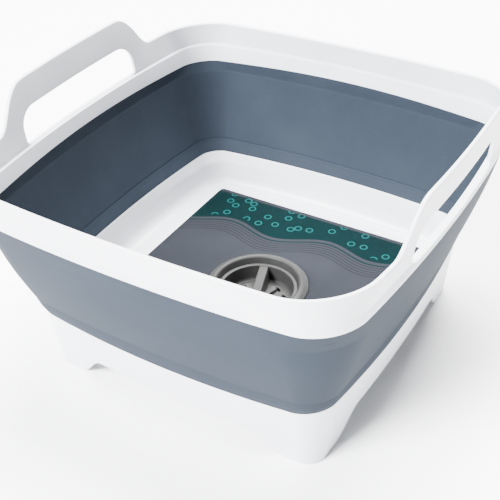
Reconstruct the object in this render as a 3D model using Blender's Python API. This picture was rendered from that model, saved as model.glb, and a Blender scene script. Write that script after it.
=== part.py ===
# A collapsible camp washbasin, modelled standing open, in metres.
# Z is up, X runs from handle to handle, and the origin is on the ground under the middle of the drain.
# A hard base and a hard rim are joined by a folding rubber wall, and a twist plug closes the drain.

import math
from collections import namedtuple

import bmesh
import bpy
import numpy as np

# Heights, each counted up from the one before it
BASE_SEAM_HEIGHT = 0.0547  # ground to the rubber's lower edge on the base
BASE_LIP_RISE = 0.0094  # hidden hard lip above that edge
LOWER_COLLAR_CROWN = 0.0064  # rubber over the lip, up to the lower fold
PANEL_HEIGHT = 0.0615  # lower fold to upper fold
UPPER_COLLAR_HEIGHT = 0.0177  # upper fold to the rim's lower edge at the corners
RIM_HEIGHT = 0.0241  # the rim's lower edge at the corners to its top
HANDLE_RISE = 0.0297  # handle above the rim's top

# Plan outline at each height: half the width at the corners, how far each side bows out, and the corner
# radius. Above the feet each half width is counted from the outline below it.
FOOT_HALF_WIDTH = 0.1142
FOOT_BOW = 0.0032
FOOT_CORNER_RADIUS = 0.0123
BASE_SEAM_FLARE = 0.0052
BASE_SEAM_BOW = 0.0089
BASE_SEAM_CORNER_RADIUS = 0.0195
COLLAR_SWELL_FLARE = 0.0032
COLLAR_SWELL_BOW = 0.0078
COLLAR_SWELL_CORNER_RADIUS = 0.0195
LOWER_FOLD_FLARE = 0.0018
LOWER_FOLD_BOW = 0.0076
LOWER_FOLD_CORNER_RADIUS = 0.0205
UPPER_FOLD_FLARE = 0.0174
UPPER_FOLD_BOW = 0.0098
UPPER_FOLD_CORNER_RADIUS = 0.0350
RIM_SEAM_FLARE = 0.0045
RIM_SEAM_BOW = 0.0112
RIM_SEAM_CORNER_RADIUS = 0.0290
RIM_CREASE_TUCK = 0.0003  # in from the rim's lower edge
RIM_CREASE_BOW = 0.0094
RIM_CREASE_CORNER_RADIUS = 0.0320
RIM_TOP_FLARE = 0.0012  # out from the crease
RIM_TOP_BOW = 0.0066
RIM_TOP_CORNER_RADIUS = 0.0406
RIM_TOP_HANDLE_BOW = 0.0115  # of the two sides that carry the handles
HANDLE_TOP_FLARE = 0.0023  # out from the rim's top
HANDLE_TOP_BOW = 0.0115
HANDLE_TOP_CORNER_RADIUS = 0.0330
SMALLEST_CORNER_SHARE = 0.125  # corner radius left inside, of the outer one or of the inset

# Rim and handles, one moulding
RIM_WALL = 0.0030
RIM_EDGE_RADIUS = 0.0010
RIM_CREASE_RISE = 0.0071  # crease above the rim's lower edge
RIM_SEAM_ARCH = 0.0026  # the rim's lower edge is this much higher in the middle of each side
RIM_DIP = 0.0004  # how far the top dips beside each handle
RIM_LEDGE_RISE = 0.0046  # inner ledge above the rim's lower edge
RIM_LEDGE_DRAFT = 0.0010
RIM_LIP_DROP = 0.0102  # hidden lip below the rim's lower edge
RIM_LIP_THICKNESS = 0.0020
RIM_OVERHANG = 0.0012  # rim's lower edge outside the rubber
HANDLE_SHOULDER_START = 0.0500  # from the handle's middle to where its top starts to fall
HANDLE_SHOULDER_END = 0.0900
HANDLE_SHOULDER_POWER = 1.2
HANDLE_DIP_START = 0.0950
HANDLE_DIP_END = 0.1400
HANDLE_HOLE_TOP_MARGIN = 0.0224  # grip bar's height over the hole
HANDLE_HOLE_FLOOR_RISE = 0.0005  # hole above the ledge
HANDLE_HOLE_TOP_HALF_LENGTH = 0.0645
HANDLE_HOLE_FLOOR_HALF_LENGTH = 0.0652
HANDLE_HOLE_TOP_CORNER_RADIUS = 0.0150
HANDLE_HOLE_FLOOR_CORNER_RADIUS = 0.0040

# Rubber wall
RUBBER_THICKNESS = 0.0025
RUBBER_RIM_THICKNESS = 0.0040  # round the rim's lip
RUBBER_SEAM_THICKNESS = 0.0010  # at the base's step
RUBBER_FOLD_THICKNESS = 0.0015
RUBBER_FOLD_LENGTH = 0.0040  # thinned stretch beside each fold
COLLAR_SWELL_SHARE = 0.42  # of the way from the base's seam to the lower fold
PANEL_BULGE = 0.0012  # how far the panel's middle swells out
PANEL_LEVEL_SHARE = 0.33  # of the panel's height, from each fold to the nearer of its two middle levels

# Base
BASE_WALL = 0.0030
BASE_LIP_THICKNESS = 0.0020
BASE_FLOOR_HEIGHT = 0.0335  # ground to the floor's top
BASE_FLOOR_THICKNESS = 0.0026
BASE_FILLET_RADIUS = 0.0090
BASE_ARCH_HEIGHT = 0.0208  # ground to the skirt's edge between the feet
BASE_FOOT_LENGTH = 0.0262  # the foot's sole along each side, in from the foot's half width
BASE_ARCH_FALL_LENGTH = 0.0240  # along the side, from the arch's flat top down to the sole

# Printed card on the floor
CARD_SETBACK_X = 0.0135  # card's edge inside the foot's half width
CARD_SETBACK_Y = 0.0080
CARD_THICKNESS = 0.0004
CARD_CORNER_RADIUS = 0.0030

# Drain fitting
DRAIN_BORE_RADIUS = 0.0322
DRAIN_BARREL_WALL = 0.0020
DRAIN_FLANGE_RADIUS = 0.0403
DRAIN_FLANGE_CROWN_RADIUS = 0.0348
DRAIN_FLANGE_EDGE_HEIGHT = 0.0016
DRAIN_FLANGE_CROWN_HEIGHT = 0.0047
DRAIN_FLANGE_SHOULDER_SHARE = 0.20  # fall from the crown to its two shoulders, of the flange's height
DRAIN_BARREL_DEPTH = 0.0225  # floor's top to the barrel's end
DRAIN_SEAT_THICKNESS = 0.0020
DRAIN_SEAT_WIDTH = 0.0027
GASKET_THICKNESS = 0.0012
GASKET_WIDTH = 0.0034
LOCKNUT_HEIGHT = 0.0045
LOCKNUT_WALL = 0.0045
LOCKNUT_LUG_LENGTH = 0.0030
LOCKNUT_LUG_WIDTH = 0.0070
LOCKNUT_LUG_SETBACK = 0.0007  # lugs from the nut's two faces
LOCKNUT_LUGS = 6

# Strainer plate and its seal, under the plug
STRAINER_THICKNESS = 0.0020
STRAINER_HOLE_RADIUS = 0.0017
FACE_SEAL_THICKNESS = 0.0010

# Twist plug
PLUG_STATIONS = 10  # places round the plug: eight fingers, and two for the grip bar's ends
PLUG_REST_ANGLE = math.radians(110)  # grip bar from the X axis, seen from above
PLUG_WALL = 0.0024
PLUG_FLOOR_THICKNESS = 0.0023
PLUG_HEIGHT = 0.0155  # underside to its top edge
PLUG_EDGE_WIDTH = 0.0010  # top edge outside the wall
PLUG_EDGE_HEIGHT = 0.0016
PLUG_CORNER_RADIUS = 0.0018
PLUG_CUP_CORNER_RADIUS = 0.0036
GRIP_BAR_WIDTH = 0.0076
GRIP_BAR_FOOT_WIDTH = 0.0096
GRIP_BAR_SINK = 0.0008  # bar's top under the plug's top edge
FINGER_WIDTH = 0.0052
FINGER_REACH = 0.0200  # plug's middle to a finger's tip
FINGER_HEIGHT = 0.0030
FINGER_EDGE_RADIUS = 0.0008
SLOT_GAP = 0.0006  # between a finger's end and its drain slot
SLOT_WIDTH = 0.0022
SLOT_HALF_ANGLE = math.radians(62)
O_RING_RADIUS = 0.0009
O_RING_HEIGHT_SHARE = 0.70  # of the plug's height
SCREW_SHANK_RADIUS = 0.0018
SCREW_HEAD_RADIUS = 0.0036
SCREW_HEAD_HEIGHT = 0.0022
SCREW_BITE = 0.0050  # shank inside the plug's grip bar
SCREW_SLOT_WIDTH = 0.0009
SCREW_SLOT_DEPTH = 0.0009
WASHER_THICKNESS = 0.0007
WASHER_RADIUS = 0.0052

# Clearances
TOUCH_GAP = 0.0003  # between pieces that touch
TURN_GAP = 0.0003  # between the plug and the bore it turns in
CUT_OVERRUN = 0.0020  # cutters past the face that they cut

# Steps of the curves
CORNER_STEPS = 8
FILLET_STEPS = 3
TURNED_STEPS = 56
SMALL_TURNED_STEPS = 24
WALL_SIDE_SHARES = (0.0, 0.30, 0.58, 0.82)
BASE_SIDE_SHARES = (0.0, 0.30, 0.55, 0.63, 0.67, 0.71, 0.75, 0.79, 0.83, 0.88, 0.94)
HANDLE_SIDE_SHARES = (0.0, 0.22, 0.42, 0.52, 0.57, 0.61, 0.65, 0.69, 0.73, 0.77, 0.82, 0.88, 0.94)

BASE_SEAM_Z = BASE_SEAM_HEIGHT
BASE_LIP_Z = BASE_SEAM_Z + BASE_LIP_RISE
LOWER_FOLD_Z = BASE_LIP_Z + LOWER_COLLAR_CROWN
COLLAR_SWELL_Z = BASE_SEAM_Z + (LOWER_FOLD_Z - BASE_SEAM_Z) * COLLAR_SWELL_SHARE
UPPER_FOLD_Z = LOWER_FOLD_Z + PANEL_HEIGHT
RIM_SEAM_Z = UPPER_FOLD_Z + UPPER_COLLAR_HEIGHT
RIM_CREASE_Z = RIM_SEAM_Z + RIM_CREASE_RISE
RIM_LEDGE_Z = RIM_SEAM_Z + RIM_LEDGE_RISE
RIM_LIP_Z = RIM_SEAM_Z - RIM_LIP_DROP
RIM_TOP_Z = RIM_SEAM_Z + RIM_HEIGHT
HANDLE_TOP_Z = RIM_TOP_Z + HANDLE_RISE
FLOOR_TOP_Z = BASE_FLOOR_HEIGHT
FLOOR_UNDER_Z = FLOOR_TOP_Z - BASE_FLOOR_THICKNESS

BASE_SEAM_HALF_WIDTH = FOOT_HALF_WIDTH + BASE_SEAM_FLARE
COLLAR_SWELL_HALF_WIDTH = BASE_SEAM_HALF_WIDTH + COLLAR_SWELL_FLARE
LOWER_FOLD_HALF_WIDTH = COLLAR_SWELL_HALF_WIDTH + LOWER_FOLD_FLARE
UPPER_FOLD_HALF_WIDTH = LOWER_FOLD_HALF_WIDTH + UPPER_FOLD_FLARE
RIM_SEAM_HALF_WIDTH = UPPER_FOLD_HALF_WIDTH + RIM_SEAM_FLARE
RIM_CREASE_HALF_WIDTH = RIM_SEAM_HALF_WIDTH - RIM_CREASE_TUCK
RIM_TOP_HALF_WIDTH = RIM_CREASE_HALF_WIDTH + RIM_TOP_FLARE
HANDLE_TOP_HALF_WIDTH = RIM_TOP_HALF_WIDTH + HANDLE_TOP_FLARE
BASE_FOOT_START = FOOT_HALF_WIDTH - BASE_FOOT_LENGTH
BASE_ARCH_START = BASE_FOOT_START - BASE_ARCH_FALL_LENGTH
CARD_HALF_LENGTH_X = FOOT_HALF_WIDTH - CARD_SETBACK_X
CARD_HALF_LENGTH_Y = FOOT_HALF_WIDTH - CARD_SETBACK_Y

Plan = namedtuple("Plan", "half bow radius")
FOOT_PLAN = Plan(FOOT_HALF_WIDTH, FOOT_BOW, FOOT_CORNER_RADIUS)
BASE_SEAM_PLAN = Plan(BASE_SEAM_HALF_WIDTH, BASE_SEAM_BOW, BASE_SEAM_CORNER_RADIUS)
COLLAR_SWELL_PLAN = Plan(COLLAR_SWELL_HALF_WIDTH, COLLAR_SWELL_BOW, COLLAR_SWELL_CORNER_RADIUS)
LOWER_FOLD_PLAN = Plan(LOWER_FOLD_HALF_WIDTH, LOWER_FOLD_BOW, LOWER_FOLD_CORNER_RADIUS)
UPPER_FOLD_PLAN = Plan(UPPER_FOLD_HALF_WIDTH, UPPER_FOLD_BOW, UPPER_FOLD_CORNER_RADIUS)
RIM_SEAM_PLAN = Plan(RIM_SEAM_HALF_WIDTH, RIM_SEAM_BOW, RIM_SEAM_CORNER_RADIUS)
RIM_CREASE_PLAN = Plan(RIM_CREASE_HALF_WIDTH, RIM_CREASE_BOW, RIM_CREASE_CORNER_RADIUS)
RIM_TOP_PLAN = Plan(RIM_TOP_HALF_WIDTH, RIM_TOP_BOW, RIM_TOP_CORNER_RADIUS)
HANDLE_TOP_PLAN = Plan(HANDLE_TOP_HALF_WIDTH, HANDLE_TOP_BOW, HANDLE_TOP_CORNER_RADIUS)
OUTER_STATIONS = (
    (0, FOOT_PLAN),
    (BASE_SEAM_Z, BASE_SEAM_PLAN),
    (COLLAR_SWELL_Z, COLLAR_SWELL_PLAN),
    (LOWER_FOLD_Z, LOWER_FOLD_PLAN),
    (UPPER_FOLD_Z, UPPER_FOLD_PLAN),
    (RIM_SEAM_Z, RIM_SEAM_PLAN),
    (RIM_CREASE_Z, RIM_CREASE_PLAN),
    (RIM_TOP_Z, RIM_TOP_PLAN),
)


def smooth(share):
    """Eases from 0 to 1, flat at both ends."""
    share = np.clip(share, 0, 1)
    return share * share * (3 - 2 * share)


def plan_at(height):
    """The outer plan at a height, between the two stations on either side of it."""
    heights = [station[0] for station in OUTER_STATIONS]
    columns = zip(*[station[1] for station in OUTER_STATIONS])
    plan = Plan(*[float(np.interp(height, heights, column)) for column in columns])
    share = np.clip((height - LOWER_FOLD_Z) / PANEL_HEIGHT, 0, 1)
    return plan._replace(half=plan.half + PANEL_BULGE * math.sin(share * math.pi))


def side_shares(half_shares):
    """The places of a side's points, from one end to the other."""
    return [-share for share in reversed(half_shares) if share > 0] + list(half_shares)


def outline(plan, inset, x_shares, y_shares):
    """Points round a plan whose edge is moved in by the inset, as an array of X and Y.

    x_shares places the points of the two sides that face X, and y_shares those of the other two.
    """
    half = plan.half - inset
    radius = max(plan.radius - inset, max(plan.radius, inset) * SMALLEST_CORNER_SHARE)
    straight = half - radius
    points = []
    for quarter in range(4):
        shares = side_shares(x_shares if quarter % 2 == 0 else y_shares)
        angle = quarter * math.pi / 2
        turn = np.array([[math.cos(angle), -math.sin(angle)], [math.sin(angle), math.cos(angle)]])
        local = [(half, share * straight) for share in shares]
        for step in range(CORNER_STEPS + 1):
            corner = step / CORNER_STEPS * math.pi / 2
            local.append((straight + radius * math.cos(corner), straight + radius * math.sin(corner)))
        points.extend(turn @ np.array(point) for point in local)
    points = np.array(points)
    across = np.clip(1 - (points[:, ::-1] / half) ** 2, 0, 1)
    along = np.clip(np.abs(points) / straight, 0, 1)
    return points + plan.bow * np.sign(points) * across * along


def level_ring(plan, inset, height, x_shares, y_shares):
    """One ring of an outline at a height, which may be one number or one for each point."""
    flat = outline(plan, inset, x_shares, y_shares)
    return np.column_stack([flat, np.broadcast_to(height, len(flat))])


def arched(ring):
    """A ring lifted in the middle of each side as the rim's lower edge is, and not at the corners."""
    lifted = ring.copy()
    along = np.min(np.abs(ring[:, :2]), axis=1)
    half = np.max(np.abs(ring[:, :2]), axis=1)
    lifted[:, 2] += RIM_SEAM_ARCH * (1 - (along / half) ** 2) ** 2
    return lifted


def circle_ring(radius, height, like):
    """A round ring whose points lie in the same directions as those of another ring."""
    angles = np.arctan2(like[:, 1], like[:, 0])
    return np.column_stack([radius * np.cos(angles), radius * np.sin(angles), np.full(len(like), height)])


def material(name, colour, roughness):
    """A plain plastic, rubber or metal surface."""
    made = bpy.data.materials.new(name)
    made.use_nodes = True
    shader = made.node_tree.nodes["Principled BSDF"]
    shader.inputs["Base Color"].default_value = (*colour, 1.0)
    shader.inputs["Roughness"].default_value = roughness
    shader.inputs["Metallic"].default_value = 0.0
    return made


def add_object(name, vertices, faces, surface, sharp_angle=math.radians(35)):
    """A closed mesh as an object of its own, with its faces turned outwards."""
    mesh = bpy.data.meshes.new(name)
    shape = bmesh.new()
    made = [shape.verts.new([float(value) for value in vertex]) for vertex in vertices]
    for face in faces:
        shape.faces.new([made[index] for index in face])
    bmesh.ops.recalc_face_normals(shape, faces=shape.faces)
    shape.to_mesh(mesh)
    shape.free()
    mesh.shade_smooth()
    mesh.set_sharp_from_angle(angle=sharp_angle)
    made_object = bpy.data.objects.new(name, mesh)
    bpy.context.scene.collection.objects.link(made_object)
    if surface is not None:
        mesh.materials.append(surface)
    return made_object


def loft(name, rings, surface):
    """A tube-like body through rings of equal length, whose last ring joins its first."""
    count = len(rings[0])
    vertices = np.concatenate(rings)
    faces = []
    for level in range(len(rings)):
        low = level * count
        high = (level + 1) % len(rings) * count
        for index in range(count):
            beside = (index + 1) % count
            faces.append((low + index, low + beside, high + beside, high + index))
    return add_object(name, vertices, faces, surface)


def turned(name, profile, steps, surface):
    """A body turned about Z from a closed profile of radius and height; it may start and end on the axis."""
    vertices = []
    rows = []
    for radius, height in profile:
        if radius == 0:
            rows.append([len(vertices)] * steps)
            vertices.append((0, 0, height))
            continue
        rows.append(list(range(len(vertices), len(vertices) + steps)))
        for step in range(steps):
            angle = step / steps * 2 * math.pi
            vertices.append((radius * math.cos(angle), radius * math.sin(angle), height))
    on_axis = profile[0][0] == 0
    faces = []
    for level in range(len(rows) - 1 if on_axis else len(rows)):
        low, high = rows[level], rows[(level + 1) % len(rows)]
        for step in range(steps):
            beside = (step + 1) % steps
            corners = (low[step], low[beside], high[beside], high[step])
            faces.append(tuple(dict.fromkeys(corners)))
    return add_object(name, vertices, faces, surface)


def prism(name, loops, surface=None):
    """A body through level loops of equal length, closed with a face at each end."""
    count = len(loops[0])
    vertices = np.concatenate(loops)
    last = (len(loops) - 1) * count
    faces = [tuple(range(count)), tuple(range(last, last + count))]
    for level in range(len(loops) - 1):
        low = level * count
        high = low + count
        for index in range(count):
            beside = (index + 1) % count
            faces.append((low + index, low + beside, high + beside, high + index))
    return add_object(name, vertices, faces, surface)


def level_loop(points, height):
    """Plan points at a height."""
    return np.array([(x, y, height) for x, y in points])


def boolean(target, tool, operation):
    """Joins a tool to its target, or cuts it out, and hides the tool."""
    step = target.modifiers.new(tool.name, "BOOLEAN")
    step.operation = operation
    step.solver = "EXACT"
    step.object = tool
    tool.hide_render = True
    tool.display_type = "WIRE"


def arc(centre, radius, start, end, steps):
    """Points along an arc in a plane, both ends included."""
    angles = np.linspace(start, end, steps + 1)
    return [(centre[0] + radius * math.cos(angle), centre[1] + radius * math.sin(angle)) for angle in angles]


def handle_share(y):
    """1 across a handle's grip, easing to 0 where its shoulders meet the rim."""
    share = np.clip((np.abs(y) - HANDLE_SHOULDER_START) / (HANDLE_SHOULDER_END - HANDLE_SHOULDER_START), 0, 1)
    return 1 - smooth(share**HANDLE_SHOULDER_POWER)


def rim_top_height(y):
    """The rim's top edge, which rises to the handles and dips beside them."""
    dip = smooth((np.abs(y) - HANDLE_DIP_START) / (HANDLE_DIP_END - HANDLE_DIP_START))
    low = RIM_TOP_Z - RIM_DIP * (1 - dip)
    return low + (HANDLE_TOP_Z - low) * handle_share(y)


def rim_top_ring(inset, drop):
    """A ring along the rim's top edge, moved in by the inset and down by the drop."""
    low = outline(RIM_TOP_PLAN, inset, HANDLE_SIDE_SHARES, WALL_SIDE_SHARES)
    handle_side_plan = RIM_TOP_PLAN._replace(bow=RIM_TOP_HANDLE_BOW)
    low[:, 0] = outline(handle_side_plan, inset, HANDLE_SIDE_SHARES, WALL_SIDE_SHARES)[:, 0]
    high = outline(HANDLE_TOP_PLAN, inset, HANDLE_SIDE_SHARES, WALL_SIDE_SHARES)
    raised = handle_share(low[:, 1])[:, None]
    return np.column_stack([low + (high - low) * raised, rim_top_height(low[:, 1]) - drop])


def rim_ring(inset, height, plan=None):
    """A level ring of the rim."""
    return level_ring(plan or plan_at(height), inset, height, HANDLE_SIDE_SHARES, WALL_SIDE_SHARES)


RIM_LIP_OUTER_INSET = RIM_OVERHANG + RUBBER_RIM_THICKNESS + TOUCH_GAP
RIM_LIP_INNER_INSET = RIM_LIP_OUTER_INSET + RIM_LIP_THICKNESS


def rim_seam_ring(inset, height):
    """An arched ring of the rim's lower edge, or of the lip that hangs straight down from it."""
    return arched(rim_ring(inset, height, RIM_SEAM_PLAN))


def make_rim(surface):
    """Rim and handles: one hard moulding with a hidden lip that the rubber grips."""
    rings = [
        rim_top_ring(RIM_EDGE_RADIUS, 0),
        rim_top_ring(0, RIM_EDGE_RADIUS),
        rim_ring(0, RIM_CREASE_Z),
        rim_seam_ring(0, RIM_SEAM_Z),
        rim_seam_ring(RIM_LIP_OUTER_INSET, RIM_SEAM_Z),
        rim_seam_ring(RIM_LIP_OUTER_INSET, RIM_LIP_Z),
        rim_seam_ring(RIM_LIP_INNER_INSET, RIM_LIP_Z),
        rim_ring(RIM_LIP_INNER_INSET - RIM_LEDGE_DRAFT, RIM_LEDGE_Z, RIM_SEAM_PLAN),
        rim_ring(RIM_WALL, RIM_LEDGE_Z),
        rim_ring(RIM_WALL, RIM_CREASE_Z),
        rim_top_ring(RIM_WALL, RIM_EDGE_RADIUS),
        rim_top_ring(RIM_WALL - RIM_EDGE_RADIUS, 0),
    ]
    rim = loft("rim_frame", rings, surface)
    boolean(rim, handle_hole_cutter(), "DIFFERENCE")
    return rim


def handle_hole_cutter():
    """One long bar in the shape of the hand hole, which cuts both handles."""
    floor_z = RIM_LEDGE_Z + HANDLE_HOLE_FLOOR_RISE
    top_z = HANDLE_TOP_Z - HANDLE_HOLE_TOP_MARGIN
    low_radius = HANDLE_HOLE_FLOOR_CORNER_RADIUS
    low_centre = (HANDLE_HOLE_FLOOR_HALF_LENGTH - low_radius, floor_z + low_radius)
    high_radius = HANDLE_HOLE_TOP_CORNER_RADIUS
    high_centre = (HANDLE_HOLE_TOP_HALF_LENGTH - high_radius, top_z - high_radius)
    half_hole = arc(low_centre, low_radius, -math.pi / 2, 0, FILLET_STEPS)
    half_hole += arc(high_centre, high_radius, 0, math.pi / 2, CORNER_STEPS)
    hole = half_hole + [(-y, z) for y, z in reversed(half_hole)]
    reach = HANDLE_TOP_HALF_WIDTH + HANDLE_TOP_BOW + CUT_OVERRUN
    loops = [np.array([(x, y, z) for y, z in hole]) for x in (-reach, reach)]
    return prism("handle_hole_cutter", loops)


def wall_ring(inset, height, plan=None):
    """A level ring of the rubber wall."""
    return level_ring(plan or plan_at(height), inset, height, WALL_SIDE_SHARES, WALL_SIDE_SHARES)


def wall_seam_ring(inset, height):
    """A ring of the rubber along the rim's arched edge or lip."""
    return arched(wall_ring(inset, height, RIM_SEAM_PLAN))


def make_upper_collar(surface):
    """Rubber from the upper fold to the rim, round the outside of the rim's lip."""
    under_lip = RIM_LIP_Z - TOUCH_GAP
    top = RIM_SEAM_Z - TOUCH_GAP
    rings = [
        wall_seam_ring(RIM_OVERHANG, top),
        wall_ring(0, UPPER_FOLD_Z),
        wall_ring(RUBBER_THICKNESS, UPPER_FOLD_Z),
        wall_seam_ring(RIM_LIP_INNER_INSET, under_lip),
        wall_seam_ring(RIM_LIP_OUTER_INSET - TOUCH_GAP, under_lip),
        wall_seam_ring(RIM_LIP_OUTER_INSET - TOUCH_GAP, top),
    ]
    return loft("wall_upper_collar", rings, surface)


def make_fold_panel(surface):
    """Rubber between the two folds, thinned beside each so that it can turn inside out."""
    thinning = (RUBBER_THICKNESS - RUBBER_FOLD_THICKNESS) / 2
    low = LOWER_FOLD_Z + TOUCH_GAP
    high = UPPER_FOLD_Z - TOUCH_GAP
    stations = [
        (low, thinning),
        (low + RUBBER_FOLD_LENGTH, 0),
        (low + PANEL_HEIGHT * PANEL_LEVEL_SHARE, 0),
        (high - PANEL_HEIGHT * PANEL_LEVEL_SHARE, 0),
        (high - RUBBER_FOLD_LENGTH, 0),
        (high, thinning),
    ]
    outer = [wall_ring(inset, height) for height, inset in stations]
    inner = [wall_ring(RUBBER_THICKNESS - inset, height) for height, inset in reversed(stations)]
    return loft("wall_fold_panel", outer + inner, surface)


BASE_LIP_OUTER_INSET = RUBBER_THICKNESS + TOUCH_GAP
BASE_STEP_INSET = RUBBER_SEAM_THICKNESS + TOUCH_GAP


def make_lower_collar(surface):
    """Rubber from the base's step, up round its lip, to the lower fold."""
    over_lip = BASE_LIP_Z + TOUCH_GAP
    bottom = BASE_SEAM_Z + TOUCH_GAP
    rings = [
        wall_ring(0, COLLAR_SWELL_Z),
        wall_ring(0, bottom),
        wall_ring(RUBBER_SEAM_THICKNESS, bottom),
        wall_ring(BASE_LIP_OUTER_INSET - TOUCH_GAP, over_lip),
        wall_ring(BASE_LIP_OUTER_INSET + BASE_LIP_THICKNESS, over_lip),
        wall_ring(RUBBER_THICKNESS, LOWER_FOLD_Z),
        wall_ring(0, LOWER_FOLD_Z),
    ]
    return loft("wall_lower_collar", rings, surface)


DRAIN_BARREL_RADIUS = DRAIN_BORE_RADIUS + DRAIN_BARREL_WALL
FLOOR_HOLE_RADIUS = DRAIN_BARREL_RADIUS + TOUCH_GAP


def base_ring(inset, height, plan=None):
    """A ring of the base, level or with a height for each point."""
    return level_ring(plan or plan_at(height), inset, height, BASE_SIDE_SHARES, BASE_SIDE_SHARES)


def skirt_edge_height(points):
    """The skirt's lower edge: an arch along each side, and the ground at each foot."""
    along = np.min(np.abs(points), axis=1)
    return BASE_ARCH_HEIGHT * (1 - smooth((along - BASE_ARCH_START) / (BASE_FOOT_START - BASE_ARCH_START)))


def skirt_edge_ring(inset):
    """The skirt's lower edge, moved in by the inset; each point keeps the plan of its own height."""
    guide = outline(FOOT_PLAN, 0, BASE_SIDE_SHARES, BASE_SIDE_SHARES)
    heights = skirt_edge_height(guide)
    rows = [base_ring(inset, height)[index] for index, height in enumerate(heights)]
    return np.array(rows)


def make_base(surface):
    """Base tray on four corner feet, with a round hole for the drain and a lip that the rubber grips."""
    fillet_z = FLOOR_TOP_Z + BASE_FILLET_RADIUS
    fillet = []
    for step in range(FILLET_STEPS + 1):
        angle = step / FILLET_STEPS * math.pi / 2
        inset = BASE_WALL + BASE_FILLET_RADIUS * (1 - math.sin(angle))
        height = fillet_z - BASE_FILLET_RADIUS * math.cos(angle)
        fillet.append(base_ring(inset, height, plan_at(fillet_z)))
    under = base_ring(BASE_WALL, FLOOR_UNDER_Z)
    rings = [
        circle_ring(FLOOR_HOLE_RADIUS, FLOOR_TOP_Z, fillet[0]),
        *fillet,
        base_ring(BASE_LIP_OUTER_INSET + BASE_LIP_THICKNESS, BASE_LIP_Z),
        base_ring(BASE_LIP_OUTER_INSET, BASE_LIP_Z),
        base_ring(BASE_STEP_INSET, BASE_SEAM_Z),
        base_ring(0, BASE_SEAM_Z),
        base_ring(0, FLOOR_UNDER_Z),
        skirt_edge_ring(0),
        skirt_edge_ring(BASE_WALL),
        under,
        circle_ring(FLOOR_HOLE_RADIUS, FLOOR_UNDER_Z, under),
    ]
    return loft("base_tray", rings, surface)


def make_card(surface):
    """Printed card on the floor, with a round hole that clears the drain's flange."""
    low = FLOOR_TOP_Z + TOUCH_GAP
    inner_x = CARD_HALF_LENGTH_X - CARD_CORNER_RADIUS
    inner_y = CARD_HALF_LENGTH_Y - CARD_CORNER_RADIUS
    edge = []
    for quarter in range(4):
        start = quarter * math.pi / 2
        side_x = 1 if quarter in (0, 3) else -1
        side_y = 1 if quarter in (0, 1) else -1
        centre = (side_x * inner_x, side_y * inner_y)
        edge.extend(arc(centre, CARD_CORNER_RADIUS, start, start + math.pi / 2, FILLET_STEPS))
    card = prism("floor_card", [level_loop(edge, low), level_loop(edge, low + CARD_THICKNESS)], surface)
    radius = DRAIN_FLANGE_RADIUS + TOUCH_GAP
    under = low - CUT_OVERRUN
    over = low + CUT_OVERRUN
    profile = [(0, under), (radius, under), (radius, over), (0, over)]
    boolean(card, turned("card_hole_cutter", profile, TURNED_STEPS, None), "DIFFERENCE")
    return card


DRAIN_BARREL_END_Z = FLOOR_TOP_Z - DRAIN_BARREL_DEPTH
DRAIN_SEAT_Z = DRAIN_BARREL_END_Z + DRAIN_SEAT_THICKNESS
STRAINER_Z = DRAIN_SEAT_Z + TOUCH_GAP
FACE_SEAL_Z = STRAINER_Z + STRAINER_THICKNESS + TOUCH_GAP
PLUG_Z = FACE_SEAL_Z + FACE_SEAL_THICKNESS + TOUCH_GAP
PLUG_FLOOR_Z = PLUG_Z + PLUG_FLOOR_THICKNESS
PLUG_TOP_Z = PLUG_Z + PLUG_HEIGHT
PLUG_EDGE_RADIUS = DRAIN_BORE_RADIUS - TURN_GAP
PLUG_RADIUS = PLUG_EDGE_RADIUS - PLUG_EDGE_WIDTH
PLUG_INNER_RADIUS = PLUG_RADIUS - PLUG_WALL
O_RING_GROOVE = O_RING_RADIUS + TOUCH_GAP
O_RING_Z = PLUG_Z + PLUG_HEIGHT * O_RING_HEIGHT_SHARE
GASKET_INNER_RADIUS = DRAIN_BARREL_RADIUS + TOUCH_GAP
GASKET_OUTER_RADIUS = GASKET_INNER_RADIUS + GASKET_WIDTH
GASKET_Z = FLOOR_TOP_Z + TOUCH_GAP


def make_drain_collar(surface):
    """Drain collar: a crowned flange on the floor, a barrel through it and a seat for the strainer."""
    flange_z = FLOOR_TOP_Z + TOUCH_GAP
    groove_z = GASKET_Z + GASKET_THICKNESS + TOUCH_GAP
    groove_radius = GASKET_OUTER_RADIUS + TOUCH_GAP
    crown_z = FLOOR_TOP_Z + DRAIN_FLANGE_CROWN_HEIGHT
    shoulder_radius = (DRAIN_FLANGE_RADIUS + DRAIN_FLANGE_CROWN_RADIUS) / 2
    inner_shoulder_radius = (DRAIN_BORE_RADIUS + DRAIN_FLANGE_CROWN_RADIUS) / 2
    shoulder_z = crown_z - (crown_z - flange_z) * DRAIN_FLANGE_SHOULDER_SHARE
    profile = [
        (DRAIN_BARREL_RADIUS, DRAIN_BARREL_END_Z),
        (DRAIN_BARREL_RADIUS, groove_z),
        (groove_radius, groove_z),
        (groove_radius, flange_z),
        (DRAIN_FLANGE_RADIUS, flange_z),
        (DRAIN_FLANGE_RADIUS, FLOOR_TOP_Z + DRAIN_FLANGE_EDGE_HEIGHT),
        (shoulder_radius, shoulder_z),
        (DRAIN_FLANGE_CROWN_RADIUS, crown_z),
        (inner_shoulder_radius, shoulder_z),
        (DRAIN_BORE_RADIUS, PLUG_TOP_Z),
        (DRAIN_BORE_RADIUS, DRAIN_SEAT_Z),
        (DRAIN_BORE_RADIUS - DRAIN_SEAT_WIDTH, DRAIN_SEAT_Z),
        (DRAIN_BORE_RADIUS - DRAIN_SEAT_WIDTH, DRAIN_BARREL_END_Z),
    ]
    return turned("drain_collar", profile, TURNED_STEPS, surface)


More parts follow.
